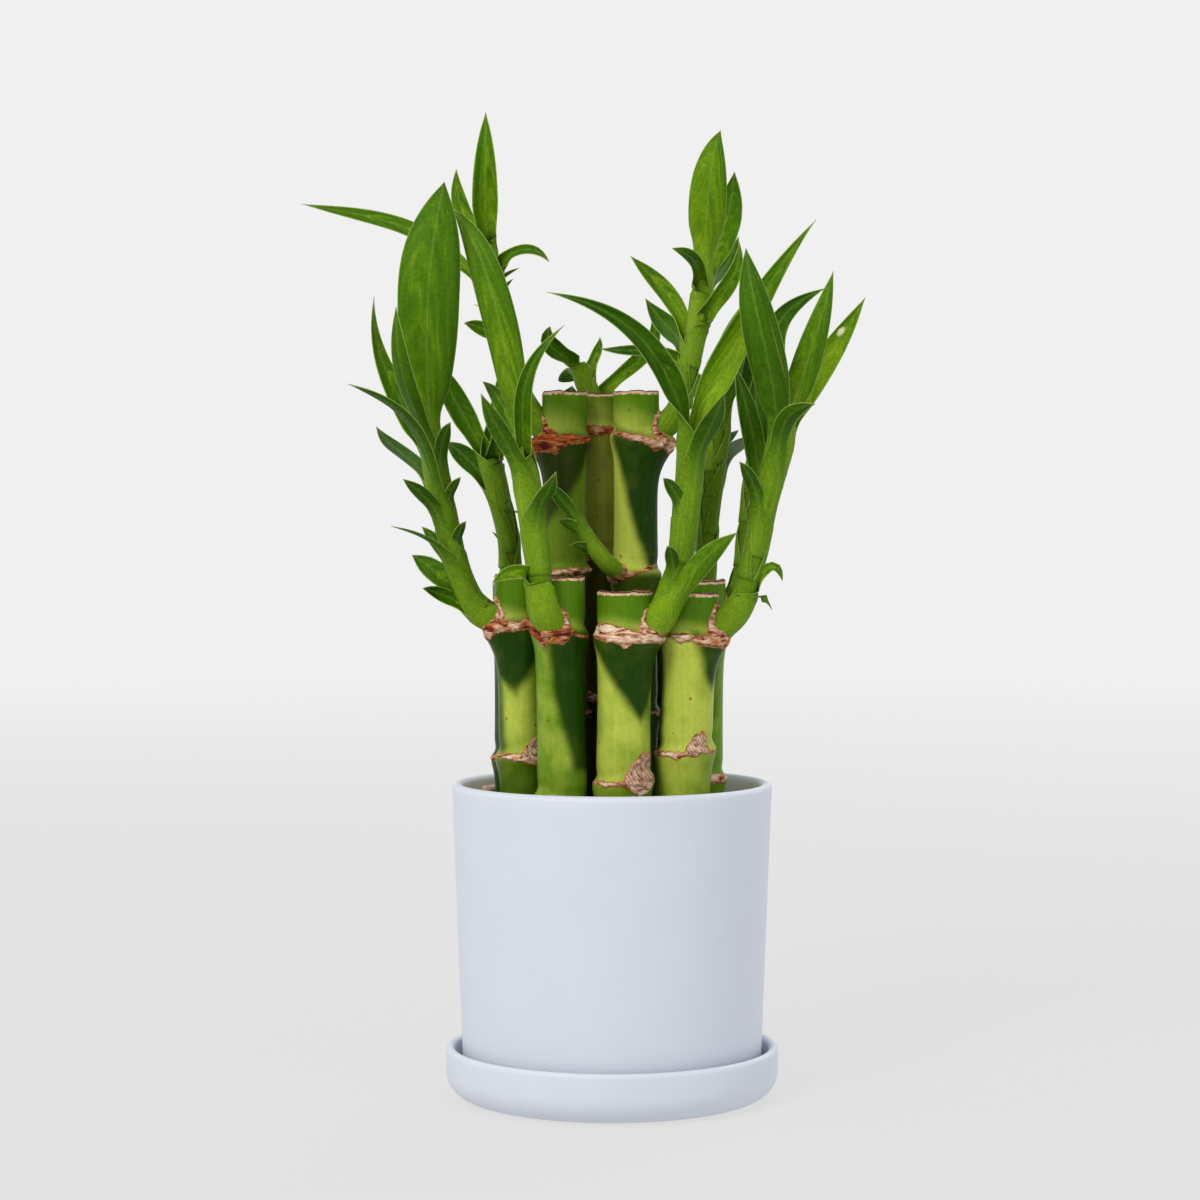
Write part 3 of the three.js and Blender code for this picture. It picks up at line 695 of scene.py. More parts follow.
    def build(self) -> bpy.types.Material:
        """Makes the finish, which reads the values that the cane's surface carries.

        Returns:
            The cane's finish.
        """
        rows = [
            ("place", Node.PLACE),
            *reads("husk scar flush depth fresh rust olive green cut around"),
            *self.skin(),
            *self.husk(),
            *self.top(),
            ("dry", Node.LARGER, "singed", "rimmed"),
            ("dry", Node.LARGER, "dry", "rim"),
            ("rough", Node.RANGE, "dry", 0, 1, self.roughness, self.dry_roughness),
            ("low", Node.TIMES_PLUS, "fibre", 0.16, 0.0),
            ("creased", Node.TIMES, "fold", "papery"),
            ("combed", Node.TIMES, "comb", "scarred"),
            ("height", Node.PLUS, "creased", "combed"),
            ("height", Node.PLUS, "height", "low"),
            ("bump", Node.BUMP, 0.7, 0.5 * MM, "height"),
        ]
        surface = {"Base Color": "colour", "Roughness": "rough", "IOR": self.ior}
        surface |= {"Specular IOR Level": self.gloss, "Normal": "bump"}
        return grow("cane_skin", rows, surface)


@dataclass(frozen=True)
class LeafSkin:
    """Living leaf: smooth waxy blade with fine parallel veins and a thin pale margin.

    The blade is deep green with lighter streaks, the sheath at its root is yellower, and the
    point dries to a dark brown.
    """

    deep: str = "#183E00"
    middle: str = "#3F6800"
    light: str = "#7C9E12"
    sheath: str = "#6E8E1E"
    margin: str = "#9DB757"
    tip: str = "#2E3A10"
    under: str = "#5A8420"
    pale_spot: str = "#D6DCA8"
    bark: str = "#7A3E20"
    dry: str = "#C89A6C"
    roughness: float = 0.42
    ior: float = 1.45
    gloss: float = 0.06
    streak_mm: tuple[float, float] = (1.3, 45)
    cloud_mm: tuple[float, float] = (7, 26)
    mottle_mm: float = 0.8
    veins: int = 11

    def build(self) -> bpy.types.Material:
        """Makes the finish, which reads the values that the leaf's surface carries.

        Returns:
            The leaf's finish.
        """
        wide, tall = self.streak_mm
        broad, long = self.cloud_mm
        rows = [
            *reads("across along edge tone sheath point under share spot foot"),
            ("place", Node.JOIN, "across", "along", "tone"),
            ("drawn_out", Node.STRETCH, "place", (1 / wide, 1 / tall, 40.0)),
            ("streak", Node.NOISE, "drawn_out", 1.0, 3.0),
            ("broad", Node.STRETCH, "place", (1 / broad, 1 / long, 23.0)),
            ("cloud", Node.NOISE, "broad", 1.0, 2.0),
            # tone carries painted light and shade: paler toward the light, deeper on shaded leaves
            # and shoots
            ("blend", Node.TIMES_PLUS, "streak", 0.5, "tone"),
            ("blend", Node.TIMES_PLUS, "cloud", 0.7, "blend"),
            ("blend", Node.RANGE, "blend", 0.6, 1.6),
            (
                "colour", Node.RAMP, "blend",
                {"stops": [(0.0, self.deep), (1.0, self.light), (0.5, self.middle)]},
            ),
            ("part", Node.TIMES, "under", 0.2),
            ("colour", Node.BLEND, "part", "colour", self.under),
            ("part", Node.TIMES, "sheath", 0.55),
            ("colour", Node.BLEND, "part", "colour", self.sheath),
            ("part", Node.TIMES, "point", 0.9),
            ("colour", Node.BLEND, "part", "colour", self.tip),
            ("rib", Node.SIZE, "across"),
            ("rib", Node.RANGE, "rib", 0.1, 0.5, 0.12, 0.0),
            ("thin", Node.RANGE, "edge", 0.1, 0.36, 0.7, 0),
            ("bark", Node.RAMP, "streak", {"stops": [(0.35, self.bark), (0.65, self.dry)]}),
            ("withered", Node.TIMES_PLUS, "streak", 1.6, "foot"),
            ("withered", Node.RANGE, "withered", 1.1, 1.5),
            ("colour", Node.BLEND, "withered", "colour", "bark"),
            ("pale", Node.RANGE, "spot", 0.6, 1.1, 0.9, 0),
            ("colour", Node.BLEND, "pale", "colour", self.pale_spot),
            ("colour", Node.BLEND, "rib", "colour", self.margin),
            ("colour", Node.BLEND, "thin", "colour", self.margin),
            # Veins are 0.3 mm apart on the plant; 11 a side are drawn so that they show.
            ("comb", Node.TIMES, "share", FULL_TURN * self.veins),
            ("comb", Node.SINE, "comb"),
            ("vein", Node.RANGE, "comb", -1, 1, 0.96, 1.04),
            ("fine", Node.NOISE, "place", 1 / self.mottle_mm, 3.0),
            ("fine", Node.RANGE, "fine", 0.3, 0.7, 0.84, 1.16),
            ("colour", Node.SHADE, "colour", "vein"),
            ("colour", Node.SHADE, "colour", "fine"),
            ("bump", Node.BUMP, 0.2, 0.1 * MM, "comb"),
            ("rough", Node.RANGE, "cloud", 0, 1, self.roughness - 0.06, self.roughness + 0.08),
        ]
        surface = {"Base Color": "colour", "Roughness": "rough", "IOR": self.ior}
        surface |= {"Specular IOR Level": self.gloss, "Normal": "bump"}
        return grow("leaf_skin", rows, surface)


# ---------------------------------------------------------------- pot and saucer


@dataclass(frozen=True)
class Crockery:
    """The saucer and the pot, turned about the plant's axis."""

    saucer_radius: float = 43.7
    saucer_height: float = 13.3
    saucer_wall: float = 2.4
    saucer_floor: float = 3.4
    saucer_corner: float = 6.8
    pot_base: float = 3.7
    pot_foot_radius: float = 39.2
    pot_rim_radius: float = 42.0
    pot_top: float = 82.3
    pot_wall: float = 3.0
    pot_floor: float = 4.6
    pot_corner: float = 4.4
    drain_radius: float = 4.5
    drain_edge: float = 0.4
    sides: int = 160

    def pot_radius(self, height: np.ndarray) -> np.ndarray:
        """Outer radius of the pot's wall, which widens evenly from its corner to its rim.

        Args:
            height: Heights up the wall.

        Returns:
            Radii, one for each height.
        """
        low = self.pot_base + self.pot_corner
        share = (height - low) / (self.pot_top - low)
        return mix(self.pot_foot_radius, self.pot_rim_radius, share)

    def saucer(self) -> Shell:
        """Shallow dish: flat underside, rounded corner, upright wall and rounded lip.

        Returns:
            The saucer's closed surface.
        """
        inner = self.saucer_corner - self.saucer_wall
        reach = self.saucer_radius - self.saucer_corner
        lip = self.saucer_wall / 2
        steps = np.linspace(reach / 4, reach, 4, endpoint=False)
        under = np.stack([steps, 0 * steps], 1)
        floor = np.stack([steps[::-1], 0 * steps + self.saucer_floor], 1)
        profile = [
            under,
            quarter((reach, self.saucer_corner), self.saucer_corner, -90, 0, 12),
            quarter((self.saucer_radius - lip, self.saucer_height - lip), lip, 0, 180, 10),
            quarter((reach, self.saucer_floor + inner), inner, 0, -90, 8),
            floor,
        ]
        return turned(np.concatenate(profile), self.sides)

    def pot(self) -> Shell:
        """Tapered wall with rounded foot and lip round a floor with one drain hole.

        Returns:
            The pot's closed surface.
        """
        lip = self.pot_wall / 2
        inner_corner = self.pot_corner - 1
        inner_floor = self.pot_base + self.pot_floor
        low = inner_floor + inner_corner
        heights = np.linspace(self.pot_base + self.pot_corner + 4, self.pot_top - 4, 9)
        wall = np.stack([self.pot_radius(heights), heights], 1)
        inside = np.stack([self.pot_radius(heights[::-1]) - self.pot_wall, heights[::-1]], 1)
        corner = (self.pot_foot_radius - self.pot_corner, self.pot_base + self.pot_corner)
        hollow = (float(self.pot_radius(low)) - self.pot_wall - inner_corner, low)
        drain, edge = self.drain_radius, self.drain_edge
        profile = [
            np.array([[drain + edge, self.pot_base]]),
            quarter(corner, self.pot_corner, -90, 0, 10),
            wall,
            quarter((self.pot_rim_radius - lip, self.pot_top - lip), lip, 0, 180, 12),
            inside[:-1],
            quarter(hollow, inner_corner, 0, -90, 6),
            np.array([[drain + edge, inner_floor], [drain, inner_floor - edge]]),
            np.array([[drain, self.pot_base + edge]]),
        ]
        return turned(np.concatenate(profile), self.sides, looped=True)

    def build(self) -> None:
        """Makes both pieces."""
        dish = MatteGlaze("matte_glaze_saucer", bare_below=0.35, inside_tinted=False).build()
        wall = MatteGlaze("matte_glaze_pot", bare_below=self.pot_base + 0.2, inside_tinted=True).build()
        make_piece("glazed_saucer", self.saucer(), dish, Slot.CERAMIC, "saucer")
        make_piece("glazed_pot", self.pot(), wall, Slot.CERAMIC, "pot")


# ---------------------------------------------------------------- canes


@dataclass(frozen=True)
class Joint:
    """A joint ring of a cane and the dry remains on it.

    band is the height of the papery strip at its widest, at compass angle wide. rust runs from
    0, pale paper, to 1, maroon. scar is the compass angle, width and height of a bud's scar.
    tilt is the strip's rise per millimetre to the right, and tears are its torn points, each a
    compass angle, a width and a height, which is negative where the point hangs.
    """

    height: float
    band: float = 2.6
    wide: float = 0.0
    rust: float = 0.25
    scar: tuple[float, float, float] | None = None
    tilt: float | None = None
    tears: tuple[tuple[float, float, float], ...] = ()


@dataclass(frozen=True)
class PaintedShadow:
    """A painted shadow on a cane: a deep green patch where a leaf's shade falls, in the outline of
    a convex polygon.

    corners run clockwise as seen from outside, each a compass angle and a height.
    """

    corners: tuple[tuple[float, float], ...]
    depth: float = 1.0


# Rings of a cane's cut top: share of its radius, height over its top in millimetres, and how
# far in the material takes it to be.
CUT_TOP = np.array(
    [
        (1.0, -0.7, -0.9), (1.0, -0.3, -0.2), (0.965, -0.02, 0.4), (0.9, -0.05, 0.9),
        (0.78, -0.25, 1.6), (0.55, -0.5, 2.4), (0.28, -0.66, 3.0),
    ]
)


@dataclass(frozen=True)
class Cane:
    """One cut cane: a leaning stem with joint rings, a shoot's bulge and a flat cut top.

    olive and green are how far its skin is from pale yellow-green; green is partly its own
    tone and partly painted shade. painted_shadows are deep green patches of painted shadow.
    fresh_rise is the height in which the skin above the top joint turns to fresh green. A
    joint's swelling and a shoot's bulge fade over one length below the joint and another above
    it. The surface's rings are coarse apart, and fine apart near the joints. Under shows_from,
    where the stones hide the cane, there are only those at its foot and at the heights in
    buried.
    """

    name: str
    foot: tuple[float, float]
    head: tuple[float, float]
    diameter: float
    slant: float
    top: float
    joints: tuple[Joint, ...]
    painted_shadows: tuple[PaintedShadow, ...] = ()
    olive: float = 0.0
    green: float = 0.15
    fresh_rise: float = 6.0
    bulge: float = 2.6
    bulge_fade: tuple[float, float] = (6.5, 4.0)
    seed: int = 1
    foot_height: float = 33.0
    buried: tuple[float, float] = (50, 62)
    shows_from: float = 70.0
    top_edge: float = 1.2
    waist: float = 0.3
    neck: float = 0.3
    swell: float = 0.9
    swell_fade: tuple[float, float] = (3.6, 1.5)
    line_wobble: float = 0.27
    cut_wobble: float = 0.28
    husk_height: float = 0.42
    scar_height: float = 0.4
    coarse: float = 1.6
    fine: float = 0.35
    sides: int = 96

    @property
    def radius(self) -> float:
        """Radius of the cane between its joints."""
        return self.diameter / 2

    def axis(self, height: np.ndarray) -> tuple[np.ndarray, np.ndarray]:
        """Place of the axis at a height, on the straight line from foot to head."""
        share = (height - self.foot_height) / (self.top - self.foot_height)
        return mix(self.foot[0], self.head[0], share), mix(self.foot[1], self.head[1], share)

    def levels(self) -> np.ndarray:
        """Heights of the rings, from the foot in the gravel to the cut top's rounded edge.

        Returns:
            Heights from low to high, crowded near the joints.
        """
        z = np.linspace(self.shows_from, self.top - self.top_edge, 2000)
        crowd = np.full_like(z, 1 / self.coarse)
        for joint in self.joints:
            near = np.exp(-(((z - joint.height) / 7.5) ** 4))
            crowd = crowd + (1 / self.fine - 1 / self.coarse) * near
        total = np.cumsum(crowd) * (z[1] - z[0])
        spread = np.interp(np.linspace(total[0], total[-1], int(total[-1])), total, z)
        return np.concatenate([[self.foot_height, *self.buried], spread])

    def strip(self, joint: Joint, a: np.ndarray, seed: int) -> tuple[np.ndarray, np.ndarray]:
        """Edges of a joint's papery strip: ragged, the lower one more, with the torn points.

        Args:
            joint: The joint.
            a: Compass angles in radians.
            seed: Picks the raggedness.

        Returns:
            Heights of the lower and the upper edge over the strip's middle.
        """
        near = (0.5 + 0.5 * np.cos(a - np.radians(joint.wide))) ** 2
        half = 0.5 * mix(0.22, 1.0, near) * joint.band
        low = -half - mix(0.15, 0.5, near) * ragged(a, seed)
        high = half + mix(0.1, 0.35, near) * ragged(a, seed + 1)
        for middle, width, height in joint.tears:
            aside = np.abs(turn(a - np.radians(middle))) * self.radius
            tear = height * np.clip(1 - aside / (width / 2), 0, 1)
            low, high = low + np.minimum(tear, 0), high + np.maximum(tear, 0)
        return low, high

    @staticmethod
    def collar(aside: np.ndarray, s: np.ndarray, frayed: np.ndarray) -> np.ndarray:
        """Depth inside the torn collar, an oval ring round the shoot that widens at the strip.

        Args:
            aside: Distance round the cane from the middle of the shoot.
            s: Height over the joint line.
            frayed: Raggedness of its edge.

        Returns:
            Distances in millimetres, less than 0 outside.
        """
        off = np.abs(np.hypot(aside / 4.7, (s - 2.4) / 5.0) - 1) * 4.2
        depth = 0.5 + 0.45 * frayed + 0.75 * bell(s - 0.6, 2.6) - off
        return np.where(s > -4, depth, -FAR)

    def bud_scar(
        self, scar: tuple[float, float, float], a: np.ndarray, rise: np.ndarray
    ) -> np.ndarray:
        """Depth inside a bud's scar, a leaning half oval that stands on the strip.

        Args:
            scar: Its compass angle, width and height.
            a: Compass angles in radians.
            rise: Height over the strip's upper edge.

        Returns:
            Distances in millimetres, less than 0 outside.
        """
        turned_to, width, height = scar
        skew = turn(a - np.radians(turned_to)) * self.radius - 0.35 * rise
        reach = np.hypot(skew / (width / 2), np.maximum(rise, -0.6) / height)
        return np.where(rise > -0.8, (1 - reach) * min(width / 2, height), -FAR)

    def greens_and_painted_shade(self, a: np.ndarray, z: np.ndarray) -> dict[str, np.ndarray]:
        """How green the skin is: deeper on the side away from the light, as painted shade, and low
        down, fresh over the top joint.

        Args:
            a: Compass angles in radians.
            z: Heights.

        Returns:
            Shares of fresh, green and olive.
        """
        low, high = self.joints[0].height, self.joints[-1].height
        stub = ease(z, high, high + 1)
        fresh = ease(z, high + 0.5, high + 0.5 + self.fresh_rise)
        # painted shade: deeper green on the side turned away from the key lamp
        green = self.green + 0.9 * swing(a + np.radians(25))
        green = green + 0.6 * (1 - ease(z, low - 1, low + 1))
        return {
            # the stub's fresh green deepens on its side away from the light, painted shade
            "fresh": np.minimum(fresh + 0.8 * swing(a + np.radians(40)) * stub, 1),
            "green": green - (self.green + 0.25) * stub,
            "olive": self.olive * (1 - 0.75 * stub),
        }

    def flush(
        self, a: np.ndarray, z: np.ndarray, above: list[np.ndarray]
    ) -> tuple[np.ndarray, np.ndarray]:
        """Distance inside the nearest painted shadow patch, the least over its edges.

        A patch also ends at the strip of the joint that is nearest to its top, and fades out
        behind the cane.

        Args:
            a: Compass angles in radians.
            z: Heights.
            above: For each joint, how far its strip's middle lies above each point.

        Returns:
            Distances in millimetres, less than 0 outside, and how dark that painted shadow is.
        """
        best, depth = np.full_like(z, -FAR), np.zeros_like(z)
        for patch in self.painted_shadows:
            corners = np.radians([c[0] for c in patch.corners]) * self.radius
            heights = np.array([c[1] for c in patch.corners], float)
            near = np.argmin([abs(joint.height - heights.max()) for joint in self.joints])
            inside = np.minimum(FAR, above[near] + 1.2)
            for k in range(len(corners)):
                run = corners[k] - corners[k - 1]
                fall = heights[k] - heights[k - 1]
                off = fall * (a * self.radius - corners[k - 1]) - run * (z - heights[k - 1])
                inside = np.minimum(inside, off / np.hypot(run, fall))
            inside = inside - 12 * ease(np.abs(a), np.radians(95), np.radians(150))
            depth = np.where(inside > best, patch.depth, depth)
            best = np.maximum(best, inside)
        return best, depth

    def shell(self, bud: float, second: float | None) -> Shell:
        """Surface of the cane.

        Its radius at compass angle a and height z is the plain radius, less a waist between
        the joints, plus a swelling at each joint line and a bulge toward the shoot. The dry
        strip, its collar round the shoot and the bud scars stand a little proud.

        Args:
            bud: Compass angle of the shoot at the top joint, in degrees.
            second: Compass angle of a second shoot at the joint below, or None.

        Returns:
            The closed surface with the values that its material reads.
        """
        angle = np.linspace(-np.pi, np.pi, self.sides, endpoint=False)
        a, z = np.meshgrid(angle, self.levels())
        swell, rust = np.zeros_like(a), np.zeros_like(a)
        husk, scar = np.full_like(a, -FAR), np.full_like(a, -FAR)
        above, below = [], self.foot_height
        top = len(self.joints) - 1
        for k, joint in enumerate(self.joints):
            seed = self.seed * 31 + k * 7
            line = joint.height + self.slant * self.radius * np.sin(a)
            s = z - (line + self.line_wobble * ragged(a, seed))
            tilt = self.slant if joint.tilt is None else joint.tilt
            beside = z - joint.height - tilt * self.radius * np.sin(a)
            part = np.clip((z - below) / (joint.height - below), 0, 1)
            swell -= self.waist * np.sin(np.pi * part)
            ring = bell(s, np.where(s < 0, *self.swell_fade))
            swell += self.swell * ring - self.neck * bell(s - 2.8, 1.6)
            low, high = self.strip(joint, a, seed + 1)
            husk = np.maximum(husk, np.minimum(beside - low, high - beside))
            toward = {top: bud, top - 1: second}.get(k)
            if toward is not None:
                aside = turn(a - np.radians(toward))
                facing = np.clip(np.cos(aside), 0, 1) ** 3
                lobe = facing * bell(s, np.where(s < 0, *self.bulge_fade))
                swell += self.bulge * (1 if k == top else 0.5) * lobe
            if k == top:
                collar = self.collar(aside * self.radius, s, ragged(a, seed + 3))
                husk = np.maximum(husk, collar)
            if joint.scar is not None:
                scar = np.maximum(scar, self.bud_scar(joint.scar, a, s - high))
            rust = np.maximum(rust, joint.rust * bell(s, 6))
            above.append(-beside)
            below = joint.height
        crumple = grain(a * self.radius / 1.7 + 200, z / 1.1, self.seed + 5)
        swell += self.husk_height * ease(husk, -0.1, 0.5) * (0.45 + 0.75 * crumple)
        swell += self.scar_height * ease(scar, -0.2, 0.5) * (0.5 + 0.5 * crumple)
        # painted shadow patches and how dark each is
        flush, depth = self.flush(a, z, above)
        values = {"husk": husk, "scar": scar, "rust": rust, "flush": flush, "depth": depth}
        values |= {"cut": z - self.top - 0.35, "around": a * self.radius + 0.45 * z}
        values |= self.greens_and_painted_shade(a, z)
        values = {n: np.pad(v, ((0, len(CUT_TOP)), (0, 0)), "edge") for n, v in values.items()}
        values["cut"][len(z) :] = CUT_TOP[:, 2:]
        values["husk"][len(z) :] = -FAR
        radius = self.radius + swell
        radius = np.concatenate([radius, radius[-1:] * CUT_TOP[:, :1]])
        wave = self.cut_wobble * ragged(angle, self.seed + 40)
        height = np.concatenate([z, self.top + CUT_TOP[:, 1:2] + wave])
        x, y = self.axis(height)
        rings = [x + radius * np.sin(angle), y - radius * np.cos(angle), height]
        return loft(np.stack(rings, axis=-1), values)


# Painted shadows on the canes behind and low down, where the canes in front shade them.
REAR_SHADOW = PaintedShadow(((140, 62), (-140, 62), (-140, 126), (140, 126)))
LOW_SHADOW = PaintedShadow(((130, 62), (-130, 62), (-130, 137), (130, 137)), 0.9)

CANES = (
    Cane(
        "short_1", (-22, -8.6), (-24.4, -8.8), 12.4, 0.1, 137,
        (
            Joint(90, 1.9, 30, 0.2, (36, 7.4, 3.8), -0.02, ((34, 8, -1.6),)),
            Joint(124, 2.6, -30, 0.55, None, 0.0, ((-56, 4.4, 2.6), (24, 5, 1.2))),
        ),
        (
            PaintedShadow(((-92, 113), (-92, 127), (130, 127), (54, 116), (-8, 106.4))),
            PaintedShadow(((-130, 91), (-130, 125), (-58, 125), (-46, 91)), 0.85),
            PaintedShadow(((-120, 62), (-120, 89.5), (120, 89.5), (120, 62)), 0.6),
        ),
        green=0.25, seed=1,
    ),
    Cane(
        "short_2", (-12.2, -18.2), (-13.6, -19.4), 13.1, -0.16, 136.7,
        (
            Joint(79, 1.6, 0, 0.2),
            Joint(122.6, 1.3, -50, 0.8, None, -0.2, ((-31, 3.6, -4.6), (-6, 3, -1.4))),
        ),
        (PaintedShadow(((34, 87), (-14, 106.5), (-25, 124), (140, 124), (140, 87))),),
        green=0.6, bulge=1.8, seed=2,
    ),
    Cane(
        "short_3", (2.4, -20.4), (3.2, -20.8), 14.2, 0.12, 133,
        (
            Joint(84.2, 1.3, 20, 0.1, (38, 10, 6.4), 0.0, ((38, 9.6, -2.6),)),
            Joint(121.8, 4.4, -42, 0.05, None, -0.16, ((2, 3.4, -1.6),)),
        ),
        (PaintedShadow(((38, 100.4), (-84, 119.5), (-84, 126), (130, 126), (130, 118))),),
        green=0.05, bulge=3.0, seed=3,
    ),
    Cane(
        "short_4", (16.4, -14.6), (20.4, -15.4), 14.2, 0.1, 132.4,
        (
            Joint(91.6, 1.4, -40, 0.2, (22, 6.2, 4.2), 0.04, ((-16, 3, -1.2), (16, 3, -0.9))),
            Joint(121, 2.2, 50, 0.45, None, -0.16, ((-18, 4, -1.0), (44, 6, 1.6))),
        ),
        (
            PaintedShadow(((44, 110.5), (4, 123), (100, 123), (90, 112), (62, 108.6))),
            PaintedShadow(((-130, 92), (-130, 122), (-74, 122), (-66, 92)), 0.9),
        ),
        green=-0.25, bulge=2.6, seed=4,
    ),
    Cane(
        "short_5", (22.2, 1.4), (23.4, 1.6), 13, -0.1, 135.4,
        (Joint(84, 2.2, 40, 0.2), Joint(125, 2.6, 0, 0.4)),
        (PaintedShadow(((-20, 86), (-130, 86), (-130, 125), (60, 125), (40, 100)), 0.7),),
        green=0.6, bulge=1.8, seed=5,
    ),
    Cane(
        "short_6", (-24.2, 7.8), (-25.2, 8.4), 13, 0.14, 135,
        (Joint(89, 2.2, 0, 0.3), Joint(126, 2.6, 0, 0.4)),
        (REAR_SHADOW,),
        bulge=1.8, seed=6,
    ),
    Cane(
        "short_7", (12.4, 17.4), (13.6, 18.4), 13.2, 0.12, 134.6,
        (Joint(93, 1.8, 150, 0.2, (170, 6, 4.4)), Joint(124, 2.8, 200, 0.4)),
        (REAR_SHADOW,),
        bulge=2.2, seed=7,
    ),
    Cane(
        "short_8", (-8.8, 23.4), (-9.8, 25), 13, -0.12, 134.6,
        (Joint(87, 1.8, 190, 0.2, (196, 7, 5.4)), Joint(125, 2.8, 160, 0.4)),
        (REAR_SHADOW,),
        bulge=2.2, seed=8,
    ),
    Cane(
        "tall_1", (-12.2, 1), (-12.4, 1.2), 11.9, 0.12, 184.8,
        (
            Joint(100, 1.8, 0, 0.3),
            Joint(137.5, 1.8, 0, 0.3),
            Joint(171.8, 4.0, -46, 1.3, None, 0.08, ((-40, 5, 2.2), (-20, 4, -1.4))),
        ),
        (
            PaintedShadow(((-30, 151), (-130, 142), (-130, 174), (130, 174), (73, 164.3), (-2, 155.6))),
            LOW_SHADOW,
        ),
        olive=0.25, green=1.15, fresh_rise=11, bulge=2.4, seed=9,
    ),
    Cane(
        "tall_2", (-2.3, 10.9), (-2.6, 11.1), 11.4, -0.1, 184.8,
        (Joint(104, 1.8, 0, 0.3), Joint(141, 1.8, 0, 0.3), Joint(174.8, 2.3, 0, 0.95)),
        (
            PaintedShadow(((130, 62), (-130, 62), (-130, 142), (130, 142)), 0.9),
            PaintedShadow(((-52, 120), (-130, 120), (-130, 174), (-58, 174)), 0.8),
        ),
        olive=0.75, green=0.2, fresh_rise=11, bulge=1.4, seed=10,
    ),
    Cane(
        "tall_3", (5.9, -1.2), (6.3, -1.2), 12, -0.08, 184.8,
        (
            Joint(101, 1.8, 0, 0.3),
            Joint(137.4, 1.6, -60, 0.3, None, 0.33, ((-66, 4, 2.0),)),
            Joint(172.4, 2.2, 70, 0.5, None, -0.3, ((40, 4, -1.0),)),
        ),
        (
            PaintedShadow(((37, 139), (9, 146), (-64, 172), (-64, 176), (140, 176), (140, 139))),
            LOW_SHADOW,
        ),
        green=-0.4, fresh_rise=11, bulge=3.6, seed=11,
    ),
)


# ---------------------------------------------------------------- shoots


@dataclass(frozen=True)
class Leaf:
    """A leaf: place of its root along the stem, tip, widest width, and where its midrib runs.

    via is a point that the midrib passes and face the compass angle that the upper side looks
    to. Without a face the leaf turns to its own stem. widest is the share of the length where
    the blade is widest. pale_spot is the share where a pale spot lies.
    """

    at: float
    tip: tuple[float, float, float]
    width: float
    via: tuple[float, float, float] | None = None
    face: float | None = None
    widest: float = 0.55
    pale_spot: float | None = None


@dataclass(frozen=True)
class Shoot:
    """A leafy shoot: path of its stem, the stem's diameter at both ends, and its leaves.

    tones run from 0, deep green, to 1, light green, one for each leaf in
    order: a leaf's own tone, set lower where it lies in shadow and higher where it is lit, as
    painted shade and light. Further leaves have a random tone. painted_shade is painted
    shadow: how much deeper green the whole shoot is, and its stem twice that much. The stem
    swells by bulb near its foot, and is dry as far as dry_foot.
    """

    path: tuple[tuple[float, float, float], ...]
    thick: tuple[float, float]
    leaves: tuple[Leaf, ...]
    tones: tuple[float, ...] = ()
    painted_shade: float = 0.0
    bulb: float = 1.0
    dry_foot: float = 2.4


